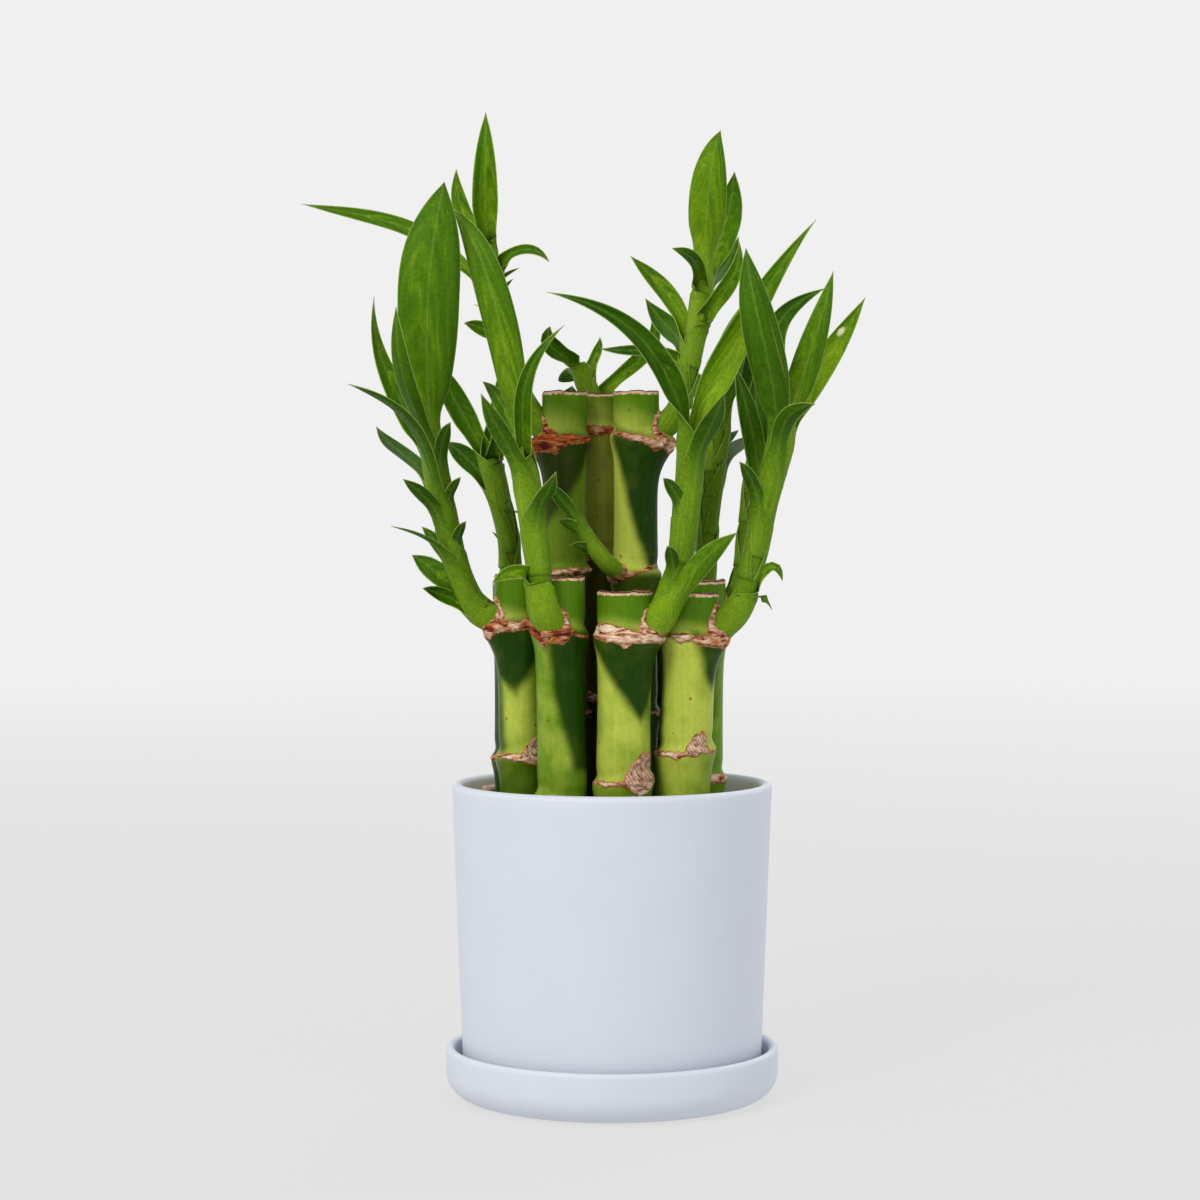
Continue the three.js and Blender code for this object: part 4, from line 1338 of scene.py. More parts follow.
SHOOTS = {
    "short_1": Shoot(
        ((-27, -8.6, 124), (-35, -10, 128.5), (-40, -14, 140), (-43.6, -17, 156), (-46, -19, 169)),
        (5.2, 5.8),
        (
            Leaf(0.97, (-42.5, -24, 236.7), 16.4, (-46.4, -31, 205), 180),
            Leaf(0.84, (-61.8, -6, 209.3), 7.8, (-58, -11, 188.6), 20, 0.26),
            Leaf(0.9, (-53.6, -41, 204), 6, (-51.4, -35, 184), 150),
            Leaf(0.62, (-65.2, -45, 184.6), 4.6, (-53, -38, 178)),
            Leaf(0.72, (-62.6, 10, 176), 6.4, (-54.6, -2, 168), 30),
            Leaf(0.56, (-52.6, -32, 161.4), 4, (-48.6, -26, 158), 180),
            Leaf(0.36, (-55.8, -30, 149.6), 3.4, (-50, -25, 147.6)),
            Leaf(0.3, (-49.4, -8, 149.4), 3.8, None, 0),
            Leaf(0.16, (-52.2, -4, 142), 6, (-46, -8, 137.8), 0),
            Leaf(0.1, (-48.6, -18, 133.6), 4.2, None, 0),
            Leaf(0.8, (-40.6, -33, 175.6), 3.8, None, 180),
            Leaf(0.66, (-38.4, -26, 162), 3),
            Leaf(0.44, (-37.2, -24, 150.8), 3),
        ),
        (0.5, 0.42, 0.4, 0.3, 0.2, 0.3, 0.35, 0.3, 0.4, 0.4, 0.15, 0.15, 0.15),
    ),
    "short_2": Shoot(
        (
            (-14.6, -22, 122.6), (-17.4, -27.4, 129), (-19.2, -28.6, 143), (-21, -27.4, 156),
            (-22.6, -25, 167),
        ),
        (5.8, 6.4),
        (
            Leaf(0.97, (-41.2, -16, 231), 9.2, (-27.7, -28, 197.7), 180, 0.5),
            Leaf(0.84, (-12, -40, 199.4), 4.8, (-20.4, -38, 188.8), 0, 0.4),
            Leaf(0.78, (-32.4, -47, 182.2), 5, (-28, -39, 173), 180),
            Leaf(0.9, (-33.6, -8, 187), 4.4, None, 0),
            Leaf(0.3, (-29.9, -38, 135.6), 3.8, (-26.4, -36, 137.6), 20),
            Leaf(0.6, (-14, -46, 163), 5, (-17.4, -38, 156)),
        ),
        (0.55, 0.4, 0.5, 0.4, 0.8, 0.4),
        dry_foot=0.6,
    ),
    "short_3": Shoot(
        (
            (6.4, -21, 121), (13, -23.4, 128), (17.4, -26.4, 143), (18.8, -27.4, 156),
            (20.2, -26.4, 170.6),
        ),
        (6, 6.6),
        (
            Leaf(0.95, (-16.3, -42, 207.4), 7.6, (0.4, -40, 201.4), 20, 0.34),
            Leaf(0.97, (52.5, -12, 228.4), 8.8, (31.8, -21, 197), 0, 0.32),
            Leaf(0.62, (12.6, -36, 161.6), 3.8, None, 180),
            Leaf(0.3, (13.6, -36, 144.6), 3.8, None, 180),
            Leaf(0.14, (30.8, -42, 148), 6, (21.4, -36, 139.6), 150),
            Leaf(0.8, (27, -52, 182), 6.4, (23.6, -41, 173)),
        ),
        (0.28, 0.52, 0.35, 0.3, 0.6, 0.35),
    ),
    "short_4": Shoot(
        (
            (24, -16, 121.4), (32, -17.4, 128.4), (36.4, -18, 142), (39.4, -18, 156.4),
            (43.4, -18, 171.4),
        ),
        (5.6, 6.2),
        (
            Leaf(0.9, (33.6, -28, 219.6), 10, (38, -32, 195), 180, 0.5),
            Leaf(0.97, (56.2, -21, 214.4), 7.8, (51.4, -25, 197.6), 180, 0.42),
            Leaf(0.93, (66.5, 2, 209.6), 6.8, (57, -5, 194.6), 0, 0.48, 0.77),
            Leaf(0.86, (57, 14, 213), 6.2, (45.6, 8, 205.2), 0),
            Leaf(0.8, (50.4, -38, 180), 5.2, (44.9, -32, 177.8), 180),
            Leaf(0.55, (32, -5, 191.5), 5.8, (35.9, -9, 175.4), 0),
            Leaf(0.6, (32, -29, 165.8), 3.8, None, 180),
            Leaf(0.24, (43.4, -21, 135.6), 2.8, (41.9, -20.6, 139), 0),
            Leaf(0.1, (40.8, -20, 128.2), 3, (38.7, -20, 131.2)),
        ),
        (0.3, 0.56, 0.66, 0.3, 0.35, 0.3, 0.3, 0.5, 0.5),
    ),
    "short_5": Shoot(
        ((26, 3.4, 125), (33, 6, 131), (35.8, 8.6, 145), (37.4, 10, 158), (39.4, 11.6, 169)),
        (5.2, 5.6),
        (
            Leaf(0.95, (45, 29, 206), 10.4, (40, 22, 189)),
            Leaf(0.9, (54, 35, 190), 9.4, (46, 24, 182)),
            Leaf(0.8, (38, 16, 190), 6.4, (38.8, 14, 177), 180),
            Leaf(0.55, (42, 37, 164), 7.4, (40, 24, 160)),
            Leaf(0.3, (43, 21, 152), 4.6),
        ),
        (0.3, 0.25, 0.25, 0.2, 0.2),
        0.22,
    ),
    "short_6": Shoot(
        (
            (-25.6, 12.4, 126.6), (-27, 18, 133), (-27.7, 19.4, 146), (-30.4, 19.6, 158),
            (-33, 19.6, 168),
        ),
        (5.2, 5.6),
        (
            Leaf(0.9, (-47.4, 25, 195), 7, (-39.6, 23, 178.6), 0),
            Leaf(0.7, (-45, 33, 172.6), 6, (-38, 25, 166.6), 0),
            Leaf(0.9, (-27.4, 12, 183), 5.4, (-29.8, 16, 173), 0),
            Leaf(0.97, (-30.4, 36, 209), 6.4, (-28.2, 30, 189)),
            Leaf(0.5, (-32, 56, 166), 4.6, (-30.8, 40, 160)),
            Leaf(0.22, (-32.3, 22, 148), 3.4),
        ),
        (0.5, 0.35, 0.4, 0.35, 0.4, 0.3),
        0.22,
    ),
    "short_7": Shoot(
        ((17, 19, 124.6), (23.6, 20.6, 130), (25.6, 21.4, 143), (26.6, 22.6, 156), (29.4, 25, 176)),
        (5.2, 5.4),
        (
            Leaf(0.96, (37, 46, 212), 11.4, (33.4, 39, 194)),
            Leaf(0.92, (14, 52, 198), 10.4, (23, 42, 188)),
            Leaf(0.7, (46, 55, 176), 8.4, (37, 41, 172)),
            Leaf(0.5, (20, 57, 166), 8, (24, 40, 162)),
            Leaf(0.8, (34.8, 34, 175.8), 4),
            Leaf(0.34, (31.4, 31, 143.4), 4),
        ),
        painted_shade=0.1,
    ),
    "short_8": Shoot(
        (
            (-10.6, 29, 125.4), (-12.6, 34.4, 132), (-13.2, 36.4, 145), (-13.4, 37.6, 158),
            (-13, 38.6, 168),
        ),
        (5.2, 5.8),
        (
            Leaf(0.97, (-11, 57, 189), 11, (-12.4, 49, 181)),
            Leaf(0.92, (9, 61, 183), 9.6, (-4, 50, 178)),
            Leaf(0.85, (-33, 57, 181), 9.8, (-22, 48, 176)),
            Leaf(0.6, (-6, 67, 161), 8, (-10, 51, 159)),
            Leaf(0.4, (-30, 55, 153), 6.6, (-20, 45, 151)),
            Leaf(0.26, (-8, 45, 147), 4.4),
        ),
        painted_shade=0.1,
    ),
    "tall_1": Shoot(
        ((-16, 1.4, 172.6), (-21.6, 2.2, 180), (-27, 4.4, 194), (-30.4, 6.6, 208), (-33, 8, 222)),
        (5, 4.8),
        (
            Leaf(0.92, (-33.1, 2, 258), 7.2, (-33.2, -1, 240.6), 0, 0.42),
            Leaf(0.9, (-31.6, 16, 250.2), 5.2, (-32.9, 14, 235), 0, 0.45),
            Leaf(0.85, (-41.4, 14, 244.6), 4.8, (-39.8, 12, 233.4), 0),
            Leaf(0.7, (-84.1, 27, 236.8), 4.8, (-67, 25, 233.4), 0, 0.5),
            Leaf(0.86, (-16.4, -3, 218.4), 3, (-22.9, 1, 222), 0),
            Leaf(0.8, (-24.4, 1, 217.2), 2.4),
            Leaf(0.72, (-26, 4, 214.6), 2.4),
            Leaf(0.5, (-39, 4, 203), 4.2, None, 0),
            Leaf(0.6, (-36.2, 4, 207.9), 2.8),
        ),
        (0.58, 0.42, 0.62, 0.42, 0.3, 0.12, 0.12, 0.4, 0.3),
    ),
    "tall_2": Shoot(
        ((-3, 13.6, 175), (-4.6, 17, 180), (-6, 17.6, 185), (-7.4, 17.6, 189), (-8.4, 17.6, 193)),
        (4.8, 4.6),
        (
            Leaf(0.95, (-16.4, 12, 202.7), 5.4, (-12.2, 15, 194.6), 0),
            Leaf(0.7, (-3.2, 24, 200.6), 2.8, (-5.2, 20, 193.4), 0),
            Leaf(0.4, (-14, 40, 190), 4, (-9, 28, 190)),
            Leaf(0.3, (11, 36, 208), 4.6, (8.3, 27.6, 195.4), 0),
            Leaf(0.85, (-14, 37, 190), 6, (-11, 28, 190)),
        ),
        (0.36, 0.45, 0.3, 0.42, 0.3),
        bulb=0.3,
    ),
    "tall_3": Shoot(
        ((9.6, -1.6, 172.6), (16.4, -1, 178.6), (20.4, 2, 192), (22.6, 5, 204), (24.2, 7, 214)),
        (5.2, 5),
        (
            Leaf(0.97, (28.5, 3, 253.3), 10.4, (24.8, 1, 231), 180, 0.5),
            Leaf(0.92, (33.2, 25, 245.3), 8.8, (29, 19, 226), 0),
            Leaf(0.88, (15.4, -9, 221.4), 4.6, (20.8, -4, 219), 0),
            Leaf(0.54, (5, 17, 221.8), 5.2, (12.2, 14, 214.4), 0),
            Leaf(0.44, (9.2, 31, 211.6), 6.4, (15.4, 21, 202.8), 0),
            Leaf(0.45, (-3.1, 10, 196.6), 3.2, (6, 8, 196), 0),
            Leaf(0.82, (35, 37, 229), 6.6, (29.6, 26, 218)),
            Leaf(0.66, (33.2, -2, 223.7), 5, (30.2, -3, 212), 0, 0.45),
        ),
        (0.72, 0.42, 0.52, 0.5, 0.3, 0.12, 0.25, 0.5),
    ),
    "low": Shoot(
        (
            (3.6, -6.4, 137), (0, -9.6, 139), (-3, -11, 142), (-5.4, -11.4, 145.6),
            (-7.4, -11.4, 149),
        ),
        (3.8, 3.4),
        (
            Leaf(0.95, (-16.8, -13, 161), 4, (-12.4, -12.8, 155.6), 180),
            Leaf(0.72, (-14, -15.6, 151), 3.4, None, 180),
            Leaf(0.8, (-10.2, -9.6, 154.6), 3, None, 180),
            Leaf(0.4, (-10.8, -14.6, 144.6), 3, None, 180),
        ),
        bulb=0.3,
        dry_foot=5.0,
    ),
}


@dataclass(frozen=True)
class Track:
    """A smooth line in space, kept as closely spaced points and their distance along it."""

    points: np.ndarray
    reach: np.ndarray

    @classmethod
    def along(cls, points: np.ndarray) -> "Track":
        """The track through closely spaced points."""
        steps = np.linalg.norm(np.diff(points, axis=0), axis=1)
        return cls(points, np.concatenate([[0], np.cumsum(steps)]))

    @classmethod
    def through(cls, path: tuple[tuple[float, float, float], ...]) -> "Track":
        """The track that bends evenly through a few points.

        Each span is the cubic whose end slopes come from the neighbouring points, with knots
        spaced by the square root of their distance.

        Args:
            path: The points that it passes.

        Returns:
            The track.
        """
        p = np.array(path, float)
        p = np.concatenate([[2 * p[0] - p[1]], p, [2 * p[-1] - p[-2]]])
        knot = np.sqrt(np.linalg.norm(np.diff(p, axis=0), axis=1))[:, None]
        d0, d1, d2 = knot[:-2], knot[1:-1], knot[2:]
        x0, x1, x2, x3 = p[:-3], p[1:-2], p[2:-1], p[3:]
        m1 = ((x1 - x0) / d0 - (x2 - x0) / (d0 + d1) + (x2 - x1) / d1) * d1
        m2 = ((x2 - x1) / d1 - (x3 - x1) / (d1 + d2) + (x3 - x2) / d2) * d1
        t = np.linspace(0, 1, 80, endpoint=False)[None, :, None]
        spans = (
            x1[:, None]
            + m1[:, None] * t
            + (-3 * x1 + 3 * x2 - 2 * m1 - m2)[:, None] * t**2
            + (2 * x1 - 2 * x2 + m1 + m2)[:, None] * t**3
        )
        return cls.along(np.concatenate([spans.reshape(-1, 3), p[-2:-1]]))

    @classmethod
    def bent(cls, a: np.ndarray, b: np.ndarray, c: np.ndarray, d: np.ndarray) -> "Track":
        """The cubic s^3 a + 3 s^2 t b + 3 s t^2 c + t^3 d, with s = 1 - t and t from 0 to 1.

        Args:
            a: Start.
            b: Point that it starts toward.
            c: Point that it ends away from.
            d: End.

        Returns:
            The track.
        """
        t = np.linspace(0, 1, 240)[:, None]
        s = 1 - t
        return cls.along(s**3 * a + 3 * s * s * t * b + 3 * s * t * t * c + t**3 * d)

    @property
    def length(self) -> float:
        """Length of the line."""
        return float(self.reach[-1])

    def at(self, distance: np.ndarray) -> np.ndarray:
        """Points at distances along the line."""
        return np.stack([np.interp(distance, self.reach, c) for c in self.points.T], axis=-1)

    def heading(self, distance: np.ndarray) -> np.ndarray:
        """Unit direction of travel at distances along the line."""
        low = np.clip(np.asarray(distance) - 0.4, 0, self.length - 0.8)
        return unit(self.at(low + 0.8) - self.at(low))


@dataclass(frozen=True)
class ShootBuilder:
    """Makes a shoot's stem and leaves, each leaf clasping the stem with its own sheath.

    The stem lies slack inside the sheaths and is drawn in over its end. sunlit and foot_tone
    are how much paler the lit side is, as painted light, and the foot, and foot_fade the
    length in which that ends. bow is how far a leaf bends, a share of its length. sheath is a
    sheath's least length and how much more it may be, and opening the length in which a blade
    flattens. wrap and gutter are the angles, in radians from the keel to the margin, of a
    sheath at its foot and at the leaf's root, and of a blade at its root and its tip. A sheath
    stands clear of the stem by clearance, at its foot and so much more at the root. The
    margins flutter by a share of the half width, in ripples of a least length and up to so
    much more. upturn is how far up the upper side looks at the root and farther out. blade is
    the blade's thickness, spot a pale spot's half width and half length, and odd_tones are
    the limits of a random tone.
    row_spacing is the step between a blade's cross-sections, whose number stays within
    row_counts.
    """

    shoot: Shoot
    seed: int
    slack: float = 0.15
    end_length: float = 3.0
    sunlit: float = 0.3
    foot_tone: float = 0.28
    foot_fade: float = 13.0
    bow: float = 0.1
    sheath: tuple[float, float] = (8, 5)
    opening: float = 17.0
    wrap: tuple[float, float] = (3.05, 2.2)
    gutter: tuple[float, float] = (0.8, 0.24)
    upturn: tuple[float, float] = (0.6, 0.3)
    clearance: tuple[float, float] = (0.1, 0.22)
    flutter: float = 0.05
    ripple: tuple[float, float] = (5.5, 3)
    blade: float = 0.5
    spot: tuple[float, float] = (0.9, 1.9)
    odd_tones: tuple[float, float] = (0.15, 0.5)
    row_spacing: float = 1.7
    row_counts: tuple[int, int] = (14, 52)
    sheath_rows: int = 9
    stem_rows: int = 48
    sides: int = 20
    half_points: int = 9

    def radius(self, track: Track, distance: np.ndarray) -> np.ndarray:
        """Stem radius: an even taper, plus a swelling at the foot that fades along the stem.

        Args:
            track: The stem's line.
            distance: Distances along it.

        Returns:
            Radii, one for each distance.
        """
        share = np.asarray(distance) / track.length
        taper = mix(self.shoot.thick[0], self.shoot.thick[1], share) / 2
        return taper + self.shoot.bulb * bell(np.asarray(distance) - 6, 8)

    def stem(self, track: Track) -> Shell:
        """Round stem: rings square to the track, drawn in to a rounded end at the last leaf.

        Args:
            track: The stem's line.

        Returns:
            The closed surface with the values that its material reads.
        """
        distance = np.linspace(0, track.length, self.stem_rows)
        along = track.heading(distance)
        side = square_to(np.broadcast_to([1.0, 0, 0], along.shape), along)
        front = np.cross(along, side)
        left = track.length - distance
        end = np.sqrt(np.clip(1 - (1 - np.minimum(left / self.end_length, 1)) ** 2, 0.01, 1))
        radius = (self.radius(track, distance) - self.slack) * end
        angle = circle(self.sides)
        spoke = (
            side[:, None] * np.cos(angle)[:, None] + front[:, None] * np.sin(angle)[:, None]
        )
        rings = track.at(distance)[:, None] + spoke * radius[:, None, None]
        flat = np.zeros(rings.shape[:2])
        values = self.ripeness_and_painted_light(distance, spoke) | {
            "across": flat + angle * 3,
            "along": flat + distance[:, None],
            "edge": flat + 5,
            "sheath": flat + 0.9,
            "point": flat,
            "under": flat,
            "share": flat + angle / 3,
            "spot": flat + FAR,
        }
        # painted shadow: the stem is deeper green by twice the shoot's painted shade
        values["tone"] += 0.3 - 2 * self.shoot.painted_shade
        return loft(rings, values)

    def ripeness_and_painted_light(self, distance: np.ndarray, facing: np.ndarray) -> dict[str, np.ndarray]:
        """How green the shoot is, by the place along it, and paler as painted light on the side
        that looks to the light.

        Args:
            distance: Distances along the stem, one for each ring.
            facing: Unit vectors that each point's surface faces.

        Returns:
            tone, paler near the foot and, as painted light, toward the light, and foot, 1 where the
            shoot is dry.
        """
        foot = self.foot_tone * bell(distance, self.foot_fade)
        # painted light: paler on the side that faces SUNWARD
        tone = self.sunlit * (facing @ SUNWARD) + foot[:, None]
        dry = 1 - ease(distance, self.shoot.dry_foot * 0.4, self.shoot.dry_foot)[:, None]
        return {"tone": tone, "foot": 0 * tone + dry}

    def midrib(self, root: np.ndarray, along: np.ndarray, leaf: Leaf) -> Track:
        """Line of a leaf's midrib.

        It leaves between the stem's direction and the way to the via point, passes the via
        point and ends at the tip. Without a via point it bows a share of its length.

        Args:
            root: Where it leaves the stem's axis.
            along: Direction of the stem there.
            leaf: The leaf.

        Returns:
            The midrib's track.
        """
        tip = np.array(leaf.tip, float)
        chord = tip - root
        reach = np.linalg.norm(chord)
        bowed = (root + tip) / 2 + square_to(along, unit(chord)) * reach * self.bow
        via = bowed if leaf.via is None else np.array(leaf.via, float)
        near = np.linalg.norm(via - root)
        t = near / (near + np.linalg.norm(tip - via))
        s = 1 - t
        first = root + unit(unit(via - root) + along) * near * 0.6
        second = (via - s**3 * root - t**3 * tip - 3 * s * s * t * first) / (3 * s * t * t)
        return Track.bent(root, first, second, tip)

    @staticmethod
    def half_width(leaf: Leaf, t: np.ndarray) -> np.ndarray:
        """Half width of a blade at shares t of its length.

        It opens from its root to its widest place and draws in to the tip, the fuller the
        later that place lies.

        Args:
            leaf: The leaf.
            t: Shares of its length.

        Returns:
            Array like t.
        """
        peak = leaf.widest
        rise = 0.34 + 0.66 * np.sin(np.pi / 2 * np.minimum(t / peak, 1)) ** 1.15
        power = 1.4 + 4.4 * max(peak - 0.3, 0)
        fall = np.clip(1 - (np.maximum(t - peak, 0) / (1 - peak)) ** power, 0, 1) ** 1.1
        return np.maximum(leaf.width / 2 * np.where(t < peak, rise, fall), 0.06)

    def upper_side(
        self, leaf: Leaf, root: np.ndarray, travel: np.ndarray, t: np.ndarray
    ) -> np.ndarray:
        """Directions that a leaf's upper side looks to, square to its travel.

        At the root it looks to the stem, and from a third of the length on to the leaf's face.

        Args:
            leaf: The leaf.
            root: Where it leaves the stem's axis.
            travel: Unit directions of the leaf, one for each cross-section.
            t: Shares of its length, one for each cross-section.

        Returns:
            Unit vectors, one for each cross-section.
        """
        near, far = self.upturn
        own = near * UP - square_to(np.array(leaf.tip, float) - root, UP)
        other = own if leaf.face is None else compass(leaf.face) + far * UP
        return square_to(mix(own, other, ease(t, 0, 0.3)[:, None]), travel)

    def leaf(self, track: Track, leaf: Leaf, order: int) -> Shell:
        """Surface of one leaf, from its sheath round the stem to the tip of its blade.

        Each cross-section is an arc: at share v across, at the angle v * bend from the keel, it
        lies at keel + w / bend * ((1 - cos) above + sin right), where w is the half width. In
        the sheath the arc is a near circle round the stem, and it opens to a shallow gutter in
        the blade. The skin is paler in a broad band along the midrib, a painted sheen, and deeper
        green toward the tip.

        Args:
            track: The stem's line.
            leaf: The leaf.
            order: Number of the leaf in its shoot.

        Returns:
            The closed surface with the values that its material reads.
        """
        rng = np.random.default_rng(self.seed * 100 + order)
        tones = self.shoot.tones
        tone = tones[order] if order < len(tones) else mix(*self.odd_tones, rng.random())
        root_at = leaf.at * track.length
        root, tangent = track.at(root_at), track.heading(root_at)
        rib = self.midrib(root, tangent, leaf)
        rows = int(np.clip(rib.length / self.row_spacing, *self.row_counts))
        sheath = min(root_at - 0.5, self.sheath[0] + self.sheath[1] * rng.random())
        back = np.linspace(-sheath, 0, self.sheath_rows, endpoint=False)
        forth = np.linspace(0, 1, rows) ** 0.92 * rib.length
        far = np.concatenate([back, forth])
        t = np.clip(far / rib.length, 0, 1)
        opening = min(self.opening, 0.6 * rib.length)
        opened = ease(far, 0, opening)
        axis = np.where((far < 0)[:, None], track.at(root_at + far), rib.at(far))
        travel = mix(
            track.heading(np.clip(root_at + far, 0, track.length)),
            rib.heading(np.clip(far, 0, rib.length)),
            ease(far, 0, opening * 0.6)[:, None],
        )
        travel = unit(travel)
        above = self.upper_side(leaf, root, travel, t)
        right = np.cross(above, travel)
        closing = np.clip(1 + far / max(sheath, 1), 0, 1)
        lift = self.clearance[0] + self.clearance[1] * closing
        clasp = self.radius(track, np.clip(root_at + far, 0, root_at)) + lift
        bend = mix(mix(*self.wrap, closing), mix(*self.gutter, t), opened)
        half = mix(clasp * bend, self.half_width(leaf, t), opened)
        keel = axis - above * (clasp * (1 - ease(far, 0, opening * 0.8)))[:, None]
        back_and_forth = np.linspace(1, -1, self.half_points)
        v = np.concatenate([back_and_forth, -back_and_forth])
        upper = np.repeat([1.0, -1.0], self.half_points)
        tilt = v * bend[:, None]
        arc = (half / bend)[:, None, None]
        inward = above[:, None] * np.cos(tilt)[..., None]
        inward = inward - right[:, None] * np.sin(tilt)[..., None]
        middle = keel[:, None] + arc * (above[:, None] - inward)
        phase = far / (self.ripple[0] + self.ripple[1] * rng.random()) + 6 * rng.random()
        wave = np.sin(phase + (v < 0)[..., None] * 2.0).T
        flutter = wave * (v**2) * (half * self.flutter * opened * (1 - t**4))[:, None]
        thick = self.blade * mix(0.8, 1.0, opened)[:, None] * (1 - 0.72 * v**2) / 2
        thick = thick * np.clip(1.3 - t, 0.35, 1)[:, None]
        rings = middle + inward * (upper * thick + flutter)[..., None]
        flat = np.zeros(rings.shape[:2])
        mark = (leaf.pale_spot or -1.0) * rib.length
        wide, long = self.spot
        values = self.ripeness_and_painted_light(root_at + far, inward * upper[:, None]) | {
            "spot": np.hypot((v - 0.35) * half[:, None] / wide, (far[:, None] - mark) / long),
            "across": v * half[:, None],
            "along": flat + far[:, None] + 60 * rng.random(),
            "edge": (1 - np.abs(v)) * half[:, None] + 0.05,
            "sheath": flat + (1 - ease(far, -2, opening))[:, None],
            "point": flat + ease(t, 1 - 3.0 / rib.length - 0.01, 1.0)[:, None],
            "under": flat + (upper < 0),
            "share": flat + v,
        }
        # the leaf's tone with its painted light and shade, less the shoot's painted shadow, and a
        # painted sheen along the midrib
        values["tone"] += tone - self.shoot.painted_shade + 0.12 * (0.5 - v**2) + 0.5 * (0.2 - t[:, None])
        return loft(rings, values)

    def shell(self) -> Shell:
        """Joins the stem and its leaves.

        Returns:
            The whole shoot as one surface.
        """
        track = Track.through(self.shoot.path)
        leaves = [self.leaf(track, leaf, k) for k, leaf in enumerate(self.shoot.leaves)]
        return Shell.joined([self.stem(track), *leaves])


@dataclass(frozen=True)
class Plant:
    """All canes and their shoots."""

    canes: tuple[Cane, ...] = CANES

    @staticmethod
    def bud_of(cane: Cane, shoot: Shoot) -> float:
        """Compass angle, in degrees, from the cane's axis to the shoot's second path point."""
        x, y = cane.axis(np.array(shoot.path[1][2]))
        return float(np.degrees(np.arctan2(shoot.path[1][0] - x, y - shoot.path[1][1])))

    def build(self) -> None:
        """Makes a piece for each cane and each shoot."""
        skin, green = CaneSkin().build(), LeafSkin().build()
        for cane in self.canes:
            bud = self.bud_of(cane, SHOOTS[cane.name])
            second = self.bud_of(cane, SHOOTS["low"]) if cane.name == "tall_3" else None
            shell = cane.shell(bud, second)
            make_piece(f"stalk_{cane.name}", shell, skin, Slot.CANE, f"cane_{cane.name}")
        for seed, (name, shoot) in enumerate(SHOOTS.items()):
            shell = ShootBuilder(shoot, seed).shell()
            make_piece(f"leaves_{name}", shell, green, Slot.LEAF, f"shoot_{name}")


# ---------------------------------------------------------------- gravel


@dataclass(frozen=True)
class GravelBed:
    """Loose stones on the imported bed, which keeps its CAD shape.

    The stones lie at level, and higher on a heap. smallest and largest are their radii, squash
    the least and the most share of it along x, y and z, dent the unevenness of their faces and
    nod how far they tip, in radians. pole is the angle in degrees of a stone's last ring.
    """

    level: float = 74.5
    heap: float = 4.6
    heap_centre: tuple[float, float] = (-27.0, 12.0)
    heap_spread: float = 17.0
    wall: float = 38.4
    spacing: float = 3.9
    row_share: float = 0.866
    jitter: float = 0.9
    smallest: float = 1.5
    largest: float = 2.7
    squash: tuple[tuple[float, float, float], ...] = ((0.85, 0.75, 0.5), (1.1, 1.0, 0.75))
    dent: float = 0.12
    nod: float = 0.5
    pole: float = 62.0
    rings: int = 4
    sides: int = 7

    def stone(self) -> Shell:
        """A ball of a few dozen faces: rings at even angles between two poles.

        Returns:
            The ball, of radius 1.
        """
        polar = np.radians(np.linspace(-self.pole, self.pole, self.rings))[:, None]
        angle, level = circle(self.sides), np.cos(polar)
        rings = [level * np.cos(angle), level * np.sin(angle), np.sin(polar) + 0 * angle]
        ball = loft(np.stack(rings, axis=-1))
        ball.points[-2:, 2] = [-1, 1]
        return ball

    def places(self, rng: np.random.Generator) -> tuple[np.ndarray, np.ndarray]:
        """Centres and radii of the stones.

        They stand on a triangular lattice with jitter, inside the wall and clear of the canes.

        Args:
            rng: Seeded source of the jitter.

        Returns:
            Centres and radii, in millimetres.
        """
        steps = np.arange(-12, 13)
        i, j = np.meshgrid(steps, steps)
        x = (i + 0.5 * (j % 2)).ravel() * self.spacing
        y = j.ravel() * self.spacing * self.row_share
        x, y = (c + rng.uniform(-self.jitter, self.jitter, c.shape) for c in (x, y))
        radius = rng.uniform(self.smallest, self.largest, x.shape)
        away = np.hypot(x - self.heap_centre[0], y - self.heap_centre[1])
        z = self.level + self.heap * bell(away, self.heap_spread)
        z = z + radius * rng.uniform(0.0, 0.35, x.shape)
        clear = np.hypot(x, y) < self.wall - radius
        for cane in CANES:
            cx, cy = cane.axis(self.level + 2)
            clear &= np.hypot(x - cx, y - cy) > cane.radius + radius * 0.95 + 0.2
        return np.stack([x, y, z], 1)[clear], radius[clear]

    def build(self) -> None:
        """Finishes the CAD bed and adds the loose stones."""
        rng = np.random.default_rng(7)
        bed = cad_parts["gravel"]
        bed.material_slots[0].material = Gravel("gravel_bed", loose=False).build()
        centre, radius = self.places(rng)
        ball = self.stone()
        count, size = len(centre), len(ball.points)
        squash = rng.uniform(*self.squash, (count, 3))
        dent = 1 + self.dent * rng.standard_normal((count, size))
        shaped = ball.points[None] * squash[:, None] * dent[..., None] * radius[:, None, None]
        yaw = rng.uniform(0, 2 * np.pi, (count, 1))
        nod = rng.uniform(-self.nod, self.nod, (count, 1))
        x, y, z = np.moveaxis(shaped, -1, 0)
        y, z = np.cos(nod) * y - np.sin(nod) * z, np.sin(nod) * y + np.cos(nod) * z
        x, y = np.cos(yaw) * x - np.sin(yaw) * y, np.sin(yaw) * x + np.cos(yaw) * y
        points = np.stack([x, y, z], -1) + centre[:, None]
        shift = (np.arange(count) * size)[:, None, None]
        stones = Shell(
            points.reshape(-1, 3),
            (ball.quads[None] + shift).reshape(-1, 4),
            (ball.fans[None] + shift).reshape(-1, 3),
            {"tone": np.repeat(rng.random(count), size)},
        )
        loose = Gravel("gravel_stones", loose=True).build()
        make_piece("loose_stones", stones, loose, Slot.GRAVEL)


# ---------------------------------------------------------------- studio


@dataclass(frozen=True)
class Lamp:
    """A soft square lamp that looks at the plant."""

    name: str
    place: tuple[float, float, float]
    size: float
    power: float
    tint: str = "#FFFFFF"


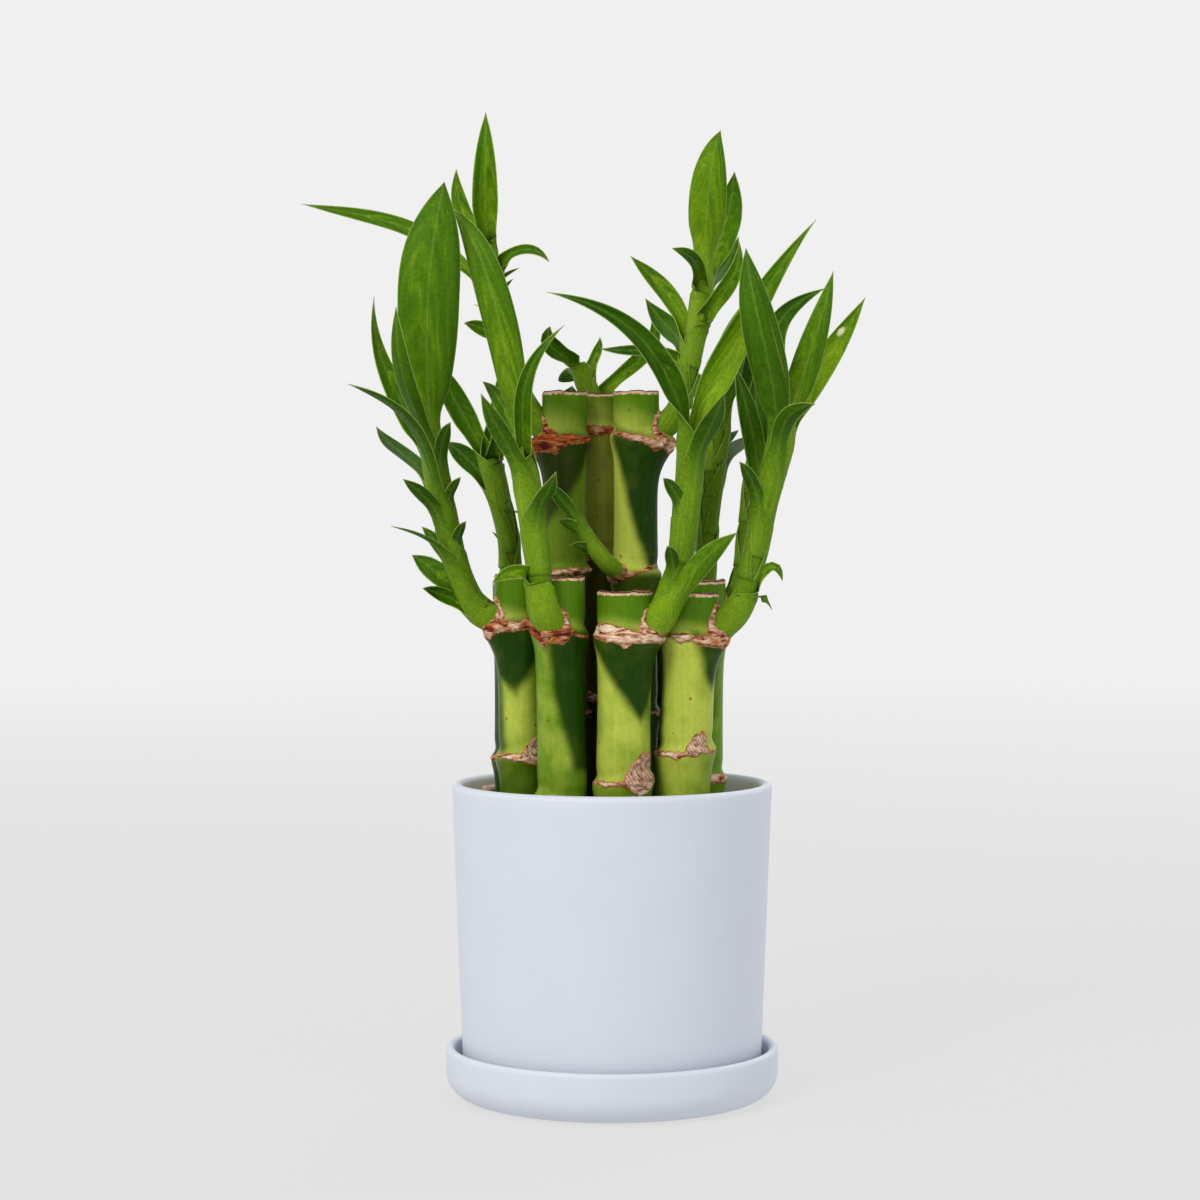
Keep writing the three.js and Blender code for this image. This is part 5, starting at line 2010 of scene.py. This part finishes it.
@dataclass(frozen=True)
class Studio:
    """Plain pale floor, soft light and the photograph's camera, in metres.

    floor_layer, the disc's underside and its top, is in millimetres. glow holds the distances
    from the plant between which the floor turns from its near to its far tone.
    """

    lens: float = 85.5
    eye: tuple[float, float, float] = (-0.00315, -0.748, 0.1504)
    dip_degrees: float = 1.55
    middle: tuple[float, float, float] = (0, 0, 0.13)
    floor_radius: float = 6.0
    floor_layer: tuple[float, float] = (-4.1, -0.1)
    glow: tuple[float, float] = (0.25, 2.2)
    near_floor: str = "#D0D0D0"
    far_floor: str = "#E3E3E3"
    floor_body: str = "#606060"
    sky: str = "#F0F0F0"
    lamps: tuple[Lamp, ...] = (
        Lamp("key", (-0.62, -0.85, 0.95), 0.36, 7.5, "#FFF8EC"),
        Lamp("fill", (0.95, -0.8, 0.5), 0.8, 0.8, "#F2F6FF"),
        Lamp("rim", (0.5, 0.95, 0.8), 0.6, 2.5),
    )

    def floor(self) -> None:
        """A wide disc that glows faintly, the more the farther out, up to the background's tone."""
        rows = [
            ("place", Node.PLACE),
            ("away", Node.LENGTH, "place"),
            ("share", Node.SMOOTH, "away", *self.glow),
            ("colour", Node.BLEND, "share", self.near_floor, self.far_floor),
        ]
        surface = {"Base Color": self.floor_body, "Roughness": 1.0, "Specular IOR Level": 0.0}
        surface |= {"Emission Color": "colour", "Emission Strength": 1.0}
        disc = turned(np.array([[self.floor_radius / MM, z] for z in self.floor_layer]), 96)
        finish = grow("studio_floor", rows, surface)
        floor = add_shell("studio_floor", disc, finish, smooth=False)

    def light(self) -> None:
        """Sets the background and the lamps, each turned to the middle of the plant."""
        world = bpy.data.worlds.new("studio")
        world.use_nodes = True
        background = world.node_tree.nodes["Background"]
        background.inputs["Color"].default_value = linear(self.sky)
        bpy.context.scene.world = world
        for lamp in self.lamps:
            data = bpy.data.lights.new(lamp.name, "AREA")
            data.size = lamp.size
            data.energy = lamp.power
            data.color = linear(lamp.tint)[:3]
            light = add_object(lamp.name, data)
            light.location = lamp.place
            aim = Vector(self.middle) - light.location
            light.rotation_euler = aim.to_track_quat("-Z", "Y").to_euler()

    def camera(self) -> None:
        """Stands the camera where the photograph was taken from."""
        data = bpy.data.cameras.new("camera")
        data.lens = self.lens
        data.sensor_width = 36.0
        data.clip_start, data.clip_end = 0.01, 50.0
        camera = add_object("camera", data)
        camera.location = self.eye
        camera.rotation_euler = (np.radians(90 - self.dip_degrees), 0, 0)
        bpy.context.scene.camera = camera
        bpy.context.scene.view_settings.view_transform = "Standard"

    def build(self) -> None:
        """Makes the whole studio."""
        self.floor()
        self.light()
        self.camera()


def main() -> None:
    """Builds the pieces in order."""
    logging.basicConfig(level=logging.INFO)
    Studio().build()
    Crockery().build()
    GravelBed().build()
    Plant().build()


if __name__ == "__main__":
    main()
